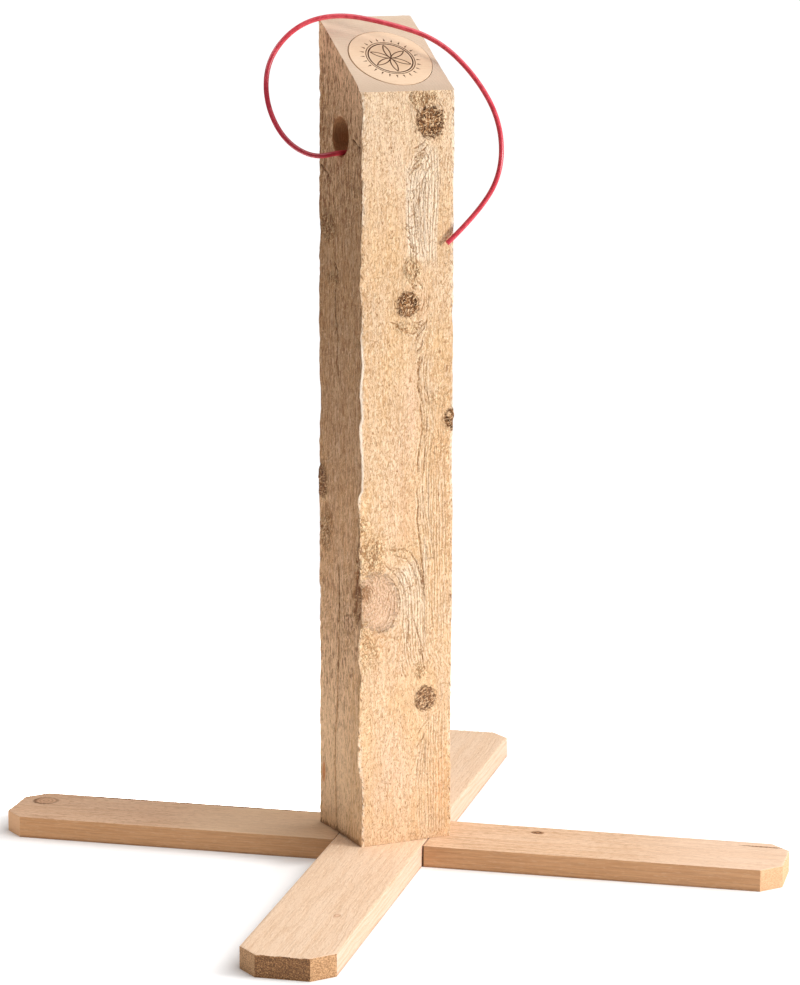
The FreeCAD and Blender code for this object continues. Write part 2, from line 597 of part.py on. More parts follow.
def route_wire(points, thick):
    """Straight runs joined by tangent arcs, each as large as its runs allow."""
    p = [V(*q) for q in points]
    edges, at, length = [], p[0], 0.0
    for i in range(1, len(p) - 1):
        a, b = (p[i] - p[i - 1]), (p[i + 1] - p[i])
        la, lb = a.Length, b.Length
        a.normalize()
        b.normalize()
        turn = a.getAngle(b)
        back = 0.45 * min(la, lb)
        radius = back / math.tan(turn / 2)
        start, end = p[i] - a * back, p[i] + b * back
        middle_dir = (b - a)
        middle_dir.normalize()
        centre = p[i] + middle_dir * (radius / math.cos(turn / 2))
        middle = centre - middle_dir * radius
        edges.append(Part.LineSegment(at, start).toShape())
        edges.append(Part.Arc(start, middle, end).toShape())
        length += (start - at).Length + radius * turn
        print("cord point %2d  run %5.1f  turn %5.1f deg  radius %6.1f" % (i, la, math.degrees(turn), radius))
        if radius < 5 * thick:
            sys.exit("cord bend %d is tighter than five diameters" % i)
        at = end
    edges.append(Part.LineSegment(at, p[-1]).toShape())
    length += (p[-1] - at).Length
    return Part.Wire(edges), length


path, cord_length = route_wire(ROUTE, D["cord_diameter"])
first = V(*ROUTE[1]) - V(*ROUTE[0])
section = Part.Wire([Part.Circle(V(*ROUTE[0]), first, D["cord_diameter"] / 2).toShape()])
tube = path.makePipeShell([section], True, True)
if tube.ShapeType != "Solid":
    tube = tube.Solids[0]
cord = doc.addObject("Part::Feature", "play_cord")
cord.Label = "play_cord"
cord.Shape = tube
ideal = math.pi * D["cord_diameter"] ** 2 / 4 * cord_length
print("cord length %.1f mm, volume %.1f of %.1f mm3" % (cord_length, tube.Volume, ideal))
if abs(tube.Volume / ideal - 1) > 0.01:
    sys.exit("the cord's volume isn't its section times its length")

# ------------------------------------------------------------- check and write

doc.recompute()
NODES = [post, left_right, front_back, screws, disc, staple, cord]
for obj in doc.Objects:
    if "Invalid" in obj.State or "Error" in obj.State:
        sys.exit("%s failed: %s" % (obj.Name, obj.State))
box = FreeCAD.BoundBox()
for node in NODES:
    shape = node.Shape
    if shape.isNull() or not shape.isValid() or not shape.Solids:
        sys.exit("%s has no valid shape" % node.Label)
    bb = shape.BoundBox
    print("%-24s solids %d faces %4d volume %11.1f  box %s" % (
        node.Label, len(shape.Solids), len(shape.Faces), shape.Volume,
        [round(q, 2) for q in (bb.XMin, bb.YMin, bb.ZMin, bb.XMax, bb.YMax, bb.ZMax)]))
    if node is not cord:
        box.add(bb)
print("whole object without the cord", [round(q, 3) for q in (box.XMin, box.XMax, box.YMin, box.YMax, box.ZMin, box.ZMax)])

os.makedirs("parts", exist_ok=True)
for node in NODES:
    node.Shape.exportStep(os.path.join("parts", node.Label + ".step"))
print("written", len(NODES), "nodes")
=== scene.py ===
import math

import bmesh
import bpy
import numpy as np
from mathutils import Matrix, Vector

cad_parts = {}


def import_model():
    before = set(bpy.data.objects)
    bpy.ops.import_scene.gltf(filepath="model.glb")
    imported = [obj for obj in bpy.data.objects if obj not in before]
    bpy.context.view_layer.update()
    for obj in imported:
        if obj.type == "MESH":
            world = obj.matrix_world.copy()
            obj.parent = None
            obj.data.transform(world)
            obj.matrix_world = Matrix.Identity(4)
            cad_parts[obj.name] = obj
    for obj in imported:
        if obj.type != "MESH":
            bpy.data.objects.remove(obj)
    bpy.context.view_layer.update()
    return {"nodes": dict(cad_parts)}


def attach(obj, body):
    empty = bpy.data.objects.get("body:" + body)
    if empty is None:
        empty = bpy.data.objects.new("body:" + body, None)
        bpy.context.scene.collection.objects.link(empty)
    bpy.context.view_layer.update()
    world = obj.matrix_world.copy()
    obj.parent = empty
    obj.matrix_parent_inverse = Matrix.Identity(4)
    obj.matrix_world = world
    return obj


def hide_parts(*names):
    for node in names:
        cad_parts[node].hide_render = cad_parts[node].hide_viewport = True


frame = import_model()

MM = 0.001
scene = bpy.context.scene
scene.view_settings.view_transform = "Standard"
scene.view_settings.look = "None"
scene.view_settings.exposure = 0.0
scene.view_settings.gamma = 1.0

# ------------------------------------------------------------------ the camera

AZ, PITCH, ROLL = math.radians(25.4618), 0.190561, 0.0027411
fwd = Vector((math.sin(AZ) * math.cos(PITCH), math.cos(AZ) * math.cos(PITCH), -math.sin(PITCH)))
right = Vector((math.cos(AZ), -math.sin(AZ), 0.0))
up = right.cross(fwd)
right2 = math.cos(ROLL) * right + math.sin(ROLL) * up
up2 = -math.sin(ROLL) * right + math.cos(ROLL) * up
cam_data = bpy.data.cameras.new("camera")
cam_data.lens = 120.575
cam_data.sensor_fit = "VERTICAL"
cam_data.sensor_height = 36.0
cam_data.clip_start, cam_data.clip_end = 0.05, 60.0
cam = bpy.data.objects.new("camera", cam_data)
scene.collection.objects.link(cam)
turn = Matrix((right2, up2, -fwd)).transposed().to_4x4()
cam.matrix_world = Matrix.Translation((-1.4010, -2.96083, 1.00892)) @ turn
scene.camera = cam


# ------------------------------------------------------- a small node-tree kit

class Tree:
    """The nodes of one material, made from its surface outwards."""

    def __init__(self, name, tree=None):
        if tree is None:
            self.material = bpy.data.materials.new(name)
            self.material.use_nodes = True
            tree = self.material.node_tree
            tree.nodes.clear()
            self.out = tree.nodes.new("ShaderNodeOutputMaterial")
            self.skin = tree.nodes.new("ShaderNodeBsdfPrincipled")
            tree.links.new(self.skin.outputs[0], self.out.inputs["Surface"])
        self.t = tree

    def put(self, socket, value):
        if isinstance(value, bpy.types.NodeSocket):
            self.t.links.new(value, socket)
        elif value is not None:
            socket.default_value = value

    def math(self, op, a, b=None, c=None, clamp=False):
        n = self.t.nodes.new("ShaderNodeMath")
        n.operation, n.use_clamp = op, clamp
        for k, v in enumerate((a, b, c)):
            self.put(n.inputs[k], v)
        return n.outputs[0]

    def add(self, a, b):
        return self.math("ADD", a, b)

    def sub(self, a, b):
        return self.math("SUBTRACT", a, b)

    def mul(self, a, b):
        return self.math("MULTIPLY", a, b)

    def vec(self, op, a, b=None, scale=None):
        n = self.t.nodes.new("ShaderNodeVectorMath")
        n.operation = op
        self.put(n.inputs[0], a)
        if b is not None:
            self.put(n.inputs[1], b)
        if scale is not None:
            self.put(n.inputs["Scale"], scale)
        return n.outputs["Value"] if op in ("LENGTH", "DOT_PRODUCT", "DISTANCE") else n.outputs["Vector"]

    def attr(self, name):
        n = self.t.nodes.new("ShaderNodeAttribute")
        n.attribute_name = name
        return n.outputs["Vector"]

    def place(self):
        return self.t.nodes.new("ShaderNodeTexCoord").outputs["Object"]

    def split(self, v):
        n = self.t.nodes.new("ShaderNodeSeparateXYZ")
        self.put(n.inputs[0], v)
        return n.outputs[0], n.outputs[1], n.outputs[2]

    def join(self, x, y, z):
        n = self.t.nodes.new("ShaderNodeCombineXYZ")
        for k, v in enumerate((x, y, z)):
            self.put(n.inputs[k], v)
        return n.outputs[0]

    def noise(self, v, scale, detail=2.0, rough=0.5, bend=0.0):
        n = self.t.nodes.new("ShaderNodeTexNoise")
        self.put(n.inputs["Vector"], v)
        n.inputs["Scale"].default_value = scale
        n.inputs["Detail"].default_value = detail
        n.inputs["Roughness"].default_value = rough
        n.inputs["Distortion"].default_value = bend
        return n.outputs["Fac"]

    def cells(self, v, scale, feature="F1", out="Distance"):
        n = self.t.nodes.new("ShaderNodeTexVoronoi")
        n.feature = feature
        self.put(n.inputs["Vector"], v)
        n.inputs["Scale"].default_value = scale
        return n.outputs[out]

    def step(self, v, lo, hi, to_lo=0.0, to_hi=1.0):
        """Smoothly from to_lo at lo to to_hi at hi, where lo may be the larger."""
        n = self.t.nodes.new("ShaderNodeMapRange")
        n.interpolation_type = "SMOOTHSTEP"
        if lo > hi:
            lo, hi, to_lo, to_hi = hi, lo, to_hi, to_lo
        self.put(n.inputs["Value"], v)
        for key, x in (("From Min", lo), ("From Max", hi), ("To Min", to_lo), ("To Max", to_hi)):
            n.inputs[key].default_value = x
        return n.outputs["Result"]

    def blend(self, f, a, b, how="MIX"):
        n = self.t.nodes.new("ShaderNodeMix")
        n.data_type, n.blend_type = "RGBA", how
        self.put(n.inputs[0], f)
        for k, v in ((6, a), (7, b)):
            if isinstance(v, tuple) and len(v) == 3:
                v = (*v, 1.0)
            self.put(n.inputs[k], v)
        return n.outputs[2]

    def grey(self, v):
        return self.join(v, v, v)

    def bump(self, height, distance, strength=1.0, normal=None):
        n = self.t.nodes.new("ShaderNodeBump")
        n.inputs["Strength"].default_value = strength
        n.inputs["Distance"].default_value = distance
        self.put(n.inputs["Height"], height)
        if normal is not None:
            self.put(n.inputs["Normal"], normal)
        return n.outputs["Normal"]

    def set(self, **sockets):
        for key, v in sockets.items():
            name = key.replace("_", " ")
            if isinstance(v, tuple) and len(v) == 3 and name == "Base Color":
                v = (*v, 1.0)
            self.put(self.skin.inputs[name], v)


# ------------------------------------------------------------------- the cord

# The same points as in part.py, in metres, the last ones set to follow
# the photograph.
ROUTE = [
    (-0.0100, 0.0098, 0.7209),
    (-0.0310, 0.0094, 0.7209),
    (-0.0530, 0.0095, 0.7217),
    (-0.0820, 0.0122, 0.7166),
    (-0.1071, 0.0278, 0.7350),
    (-0.1195, 0.0423, 0.7723),
    (-0.1129, 0.0505, 0.8127),
    (-0.0839, 0.0461, 0.8455),
    (-0.0457, 0.0324, 0.8564),
    (-0.0015, 0.0112, 0.8474),
    (0.0426, -0.0118, 0.8320),
    (0.0743, -0.0337, 0.7960),
    (0.0932, -0.0515, 0.7519),
    (0.0909, -0.0604, 0.7033),
    (0.0710, -0.0505, 0.6632),
    (0.0372, -0.0473, 0.6332),
]
curve = bpy.data.curves.new("red_play_cord", "CURVE")
curve.dimensions = "3D"
spline = curve.splines.new("NURBS")
spline.points.add(len(ROUTE) - 1)
for point, co in zip(spline.points, ROUTE):
    point.co = (*co, 1.0)
spline.order_u = 3
spline.use_endpoint_u = True
curve.resolution_u = 14
curve.bevel_depth = 0.0025
curve.bevel_resolution = 5
curve.use_fill_caps = True
cord = bpy.data.objects.new("red_play_cord", curve)
scene.collection.objects.link(cord)

t = Tree("red_cord_plastic")
p = t.place()
mottle = t.noise(p, 160.0, 3.0, 0.6)
fine = t.noise(p, 1500.0, 2.0, 0.5)
# painted light and shade: the cord's red is lighter along its top and towards its right end, darker elsewhere; the
# mottle is the plastic's own
cord_shaded_red = t.blend(t.step(mottle, 0.35, 0.7), (0.50, 0.022, 0.046), (0.66, 0.044, 0.076))
cord_lit_red = t.blend(t.step(mottle, 0.35, 0.7), (0.70, 0.050, 0.076), (0.88, 0.092, 0.124))
cx, cy, cz = t.split(p)
col = t.blend(t.math("MAXIMUM", t.step(cz, 0.790, 0.850), t.mul(t.step(cx, 0.020, 0.070), 0.55)), cord_shaded_red, cord_lit_red)
t.set(Base_Color=col, Roughness=t.step(mottle, 0.3, 0.7, 0.28, 0.40), Specular_IOR_Level=0.7)
t.set(Normal=t.bump(t.add(t.mul(mottle, 0.7), t.mul(fine, 0.3)), 0.00025, 0.6))
t.skin.inputs["Subsurface Weight"].default_value = 0.0
curve.materials.append(t.material)
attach(cord, "root")
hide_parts("play_cord")


# ---------------------------------------------------------- noise on a surface

def lattice(u, v, cells, seed):
    """Smooth noise in -1..1 whose u wraps after that many cells."""
    table = np.random.default_rng(seed).uniform(-1.0, 1.0, (cells, 1024))
    i, j = np.floor(u).astype(int), np.floor(v).astype(int)
    a, b = u - i, v - j
    a, b = (w * w * w * (w * (w * 6 - 15) + 10) for w in (a, b))
    i0, i1, j0, j1 = i % cells, (i + 1) % cells, j % 1024, (j + 1) % 1024
    return (
        (table[i0, j0] * (1 - a) + table[i1, j0] * a) * (1 - b)
        + (table[i0, j1] * (1 - a) + table[i1, j1] * a) * b
    )


def wrap_noise(S, z, across, along, seed, octaves=1):
    """Noise over the unrolled sides of the post, in millimetres."""
    total, gain, size = 0.0, 1.0, 0.0
    for k in range(octaves):
        cells = max(2, int(round(400.0 / across * 2 ** k)))
        total = total + gain * lattice(S / 400.0 * cells, z / along * 2 ** k, cells, seed + 17 * k)
        size += gain
        gain *= 0.55
    return total / size


def smooth(x, lo, hi):
    x = np.clip((x - lo) / (hi - lo), 0.0, 1.0)
    return x * x * (3 - 2 * x)


def bell(x, width):
    return np.exp(-(x / width) ** 2)


def around(S, at):
    """Signed distance along the unrolled sides, the short way round."""
    return (S - at + 200.0) % 400.0 - 200.0


def along_line(S, z, points):
    """Signed distance to a line of straight pieces, and how far along it that is, 0..1."""
    best = np.full(S.shape, 1e9)
    side = np.zeros(S.shape)
    where = np.zeros(S.shape)
    pts = np.array(points, float)
    lengths = np.hypot(*(pts[1:] - pts[:-1]).T)
    whole, done = lengths.sum(), 0.0
    for (ax, az), (bx, bz), ln in zip(pts[:-1], pts[1:], lengths):
        ux, uz = (bx - ax) / ln, (bz - az) / ln
        rx, rz = around(S, ax), z - az
        s = rx * ux + rz * uz
        cross = rx * uz - rz * ux
        sc = np.clip(s, 0, ln)
        d = np.hypot(rx - ux * sc, rz - uz * sc)
        near = d < best
        best = np.where(near, d, best)
        side = np.where(near, np.sign(cross) + (cross == 0), side)
        where = np.where(near, (done + np.where(sc == s, sc, s)) / whole, where)
        done += ln
    return best * side, where


# ------------------------------------------------------ the post: its features

# The sides of the post are unrolled: S is 0 at the arris between the left and
# the front face, the left face is -100..0, the front 0..100, the right
# 100..200 and the back 200..300. z is the height above the floor. Millimetres.
X0, X1, Y0, Y1 = -53.5, 46.5, -42.0, 58.0
Z_FOOT, Z_LOW, Z_HIGH = 22.25, 783.65, 851.55
SLOPE = math.atan((Z_HIGH - Z_LOW) / 100.0)

# knots: middle S and z, half width, half height, pale instead of dark, tilt
KNOTS = [
    (74.4, 753.0, 14.5, 15.8, 0.0, 0.0),
    (50.7, 574.0, 12.2, 12.4, 0.0, 0.0),
    (99.0, 456.0, 7.5, 11.0, 0.0, 0.0),
    (19.0, 275.0, 22.0, 31.0, 1.0, -0.15),
    (71.7, 170.8, 11.0, 12.6, 0.12, 0.1),
    (-97.5, 385.0, 13.0, 17.0, 0.15, 0.0),
    (-31.0, 249.0, 10.0, 9.0, 0.85, 0.0),
    # the right and the back face
    (151.0, 611.0, 13.0, 14.0, 0.05, 0.2),
    (128.0, 340.0, 9.0, 10.5, 0.3, 0.0),
    (170.0, 128.0, 11.5, 13.0, 0.1, -0.2),
    (232.0, 702.0, 12.5, 13.5, 0.0, 0.0),
    (262.0, 505.0, 15.5, 17.5, 0.45, 0.15),
    (224.0, 301.0, 8.5, 9.5, 0.05, 0.0),
    (271.0, 140.0, 10.5, 12.0, 0.2, 0.0),
]

# torn areas: middle, half sizes, strength
TORN = [
    (68.0, 775.0, 19.0, 11.0, 1.00),
    (74.4, 753.0, 17.0, 18.0, 1.0),
    (60.0, 717.0, 13.0, 20.0, 0.35),
    (55.5, 607.0, 11.0, 18.0, 1.0),
    (50.7, 574.0, 14.0, 14.0, 1.0),
    (50.0, 550.0, 16.0, 8.5, 0.75),
    (85.0, 477.0, 18.0, 13.0, 0.55),
    (100.0, 456.0, 10.0, 12.0, 0.8),
    (88.0, 430.0, 15.0, 19.0, 0.45),
    (-2.0, 352.0, 10.0, 17.0, 0.9),
    (12.0, 322.0, 20.0, 27.0, 0.85),
    (-4.0, 316.0, 12.0, 22.0, 0.9),
    (30.0, 327.0, 26.0, 9.0, 0.55),
    (7.0, 288.0, 8.0, 22.0, 0.8),
    (-8.0, 280.0, 10.0, 27.0, 0.9),
    (3.0, 246.0, 8.0, 34.0, 0.75),
    (9.0, 222.0, 14.0, 28.0, 0.65),
    (40.0, 237.0, 12.0, 3.5, 0.5),
    (65.5, 198.0, 8.0, 11.0, 0.75),
    (71.7, 170.8, 12.0, 13.5, 0.9),
    (-1.5, 190.0, 4.5, 34.0, 0.7),
    (-81.0, 647.0, 22.0, 21.0, 0.85),
    (-66.0, 592.0, 27.0, 9.0, 0.6),
    (-18.0, 683.0, 15.0, 7.0, 0.55),
    (-88.0, 742.0, 12.0, 22.0, 0.35),
    (-95.0, 385.0, 15.0, 22.0, 1.0),
    (-84.0, 334.0, 16.0, 29.0, 0.8),
    (-92.0, 79.0, 8.0, 14.0, 0.7),
    (-20.0, 108.0, 10.0, 20.0, 0.45),
    (-33.0, 240.0, 13.0, 16.0, 0.6),
    (151.0, 611.0, 18.0, 21.0, 0.95),
    (146.0, 648.0, 12.0, 18.0, 0.6),
    (128.0, 340.0, 12.0, 14.0, 0.8),
    (170.0, 128.0, 15.0, 17.0, 0.9),
    (188.0, 402.0, 14.0, 26.0, 0.6),
    (232.0, 702.0, 16.0, 18.0, 1.0),
    (226.0, 735.0, 12.0, 14.0, 0.5),
    (262.0, 505.0, 20.0, 23.0, 0.8),
    (224.0, 301.0, 12.0, 13.0, 0.9),
    (271.0, 140.0, 13.0, 15.0, 0.8),
    (248.0, 402.0, 12.0, 22.0, 0.5),
]

# families of parallel grain lines: the line they follow, the first and the
# last distance from it, the spacing, the strength, the fade at its two ends
LINES = [
    ([(70.5, 737), (67.4, 727.7), (62.0, 718.1), (55.5, 708.5), (48.0, 697.0)], -9.0, 7.0, 3.4, 0.55, 0.2),
    ([(76.0, 737), (78.2, 715.6), (79.4, 695.9), (78.5, 677), (77.0, 650), (76.5, 625), (79.0, 600)], -5.0, 13.0, 3.2, 0.80, 0.2),
    ([(61.5, 712), (59.4, 681.8), (59.8, 662.1), (60.7, 642.3), (62.4, 627.4), (63.5, 612)], -8.5, 12.5, 3.1, 0.85, 0.12),
    ([(69.8, 556.5), (66.8, 546.5), (61.5, 536.8), (57.0, 523)], -6.0, 7.5, 3.0, 0.65, 0.2),
    ([(66.0, 531), (62.3, 520.7), (61.1, 501.7), (61.8, 489.6), (64.0, 474.3), (66.2, 455.0), (64.8, 433.0), (62.1, 420.3),
      (61.4, 402.2), (61.5, 381.4), (60.9, 361.9), (64.6, 342.1), (66.1, 328.9), (67.9, 313), (68.6, 300)], -13.0, -1.5, 3.1, 0.62, 0.06),
    ([(54.0, 321.0), (59.7, 313.1), (64.1, 301.1), (66.9, 284.9), (68.3, 269.0), (68.4, 255.8),
      (68.2, 242.9), (70.1, 222.6), (74.5, 205.0)], -1.6, 25.0, 3.2, 0.82, 0.12),
    ([(82.0, 158), (73.9, 151.0), (68.3, 131.6), (64.1, 113.3), (62.0, 95.2), (60.6, 76.4), (61.4, 54.1), (62, 30)], -16.0, 1.5, 3.3, 0.48, 0.12),
    ([(-24.0, 300.0), (-38.5, 290.0), (-46.5, 270.0), (-49.0, 252.0), (-48.0, 232.0), (-40.0, 217.0)], -4.0, 14.0, 3.6, 0.5, 0.15),
    ([(-52.0, 450.0), (-57.4, 437.1), (-64.7, 423.2), (-72.1, 413.3), (-88.2, 404.9)], -5.0, 5.0, 3.4, 0.45, 0.2),
    # straight, close lines near the right arris of the front face
    ([(83.0, 420.0), (82.5, 360.0), (83.5, 300.0), (85.0, 230.0)], -10.0, 16.0, 3.1, 0.62, 0.15),
    ([(84.0, 160.0), (83.5, 110.0), (84.0, 60.0), (84.0, 24.0)], -9.0, 15.0, 3.0, 0.50, 0.1),
    # the right and the back face
    ([(150.0, 590.0), (146.0, 560.0), (143.0, 520.0), (145.0, 470.0), (149.0, 410.0), (150.0, 360.0)], -9.0, 12.0, 3.1, 0.7, 0.1),
    ([(166.0, 300.0), (170.0, 250.0), (171.0, 200.0), (168.0, 160.0)], -12.0, 12.0, 3.2, 0.55, 0.15),
    ([(232.0, 684.0), (236.0, 650.0), (237.0, 610.0), (231.0, 560.0), (229.0, 520.0)], -10.0, 10.0, 3.0, 0.7, 0.1),
    ([(252.0, 480.0), (246.0, 440.0), (243.0, 380.0), (247.0, 310.0), (252.0, 240.0)], -8.0, 16.0, 3.2, 0.6, 0.1),
]

# drying cracks: the line, half width, depth
CRACKS = [
    ([(-23.0, 737.0), (-13.2, 732.9), (-2.5, 728.0)], 0.55, 1.8),
    ([(-99.0, 707.5), (-92.1, 702.7), (-80.9, 697.7), (-76.0, 690.0)], 0.55, 1.6),
    ([(-72.9, 622.5), (-65.7, 612.3), (-57.5, 603.2), (-60.9, 591.8), (-64.3, 567.2), (-61.0, 551.6), (-56.2, 535.4),
      (-58.4, 520.0), (-56.2, 505.7), (-51.4, 490.2)], 0.5, 1.6),
    ([(-56.5, 322.0), (-54.0, 268.0), (-55.5, 212.0), (-58.7, 179.5), (-59.5, 150.9), (-64.6, 123.1), (-65.3, 75.3), (-63.2, 44.9), (-61.2, 22.0)], 0.85, 3.2),
    ([(141.0, 760.0), (138.5, 735.0), (139.5, 700.0), (137.5, 668.0)], 0.55, 1.8),
    ([(183.0, 90.0), (181.0, 62.0), (182.5, 22.0)], 0.8, 2.6),
    ([(210.0, 220.0), (212.0, 180.0), (210.5, 120.0), (212.5, 60.0), (211.5, 22.0)], 0.8, 2.8),
    ([(284.0, 850.0), (285.5, 810.0), (283.0, 770.0), (284.5, 720.0)], 0.7, 2.2),
]
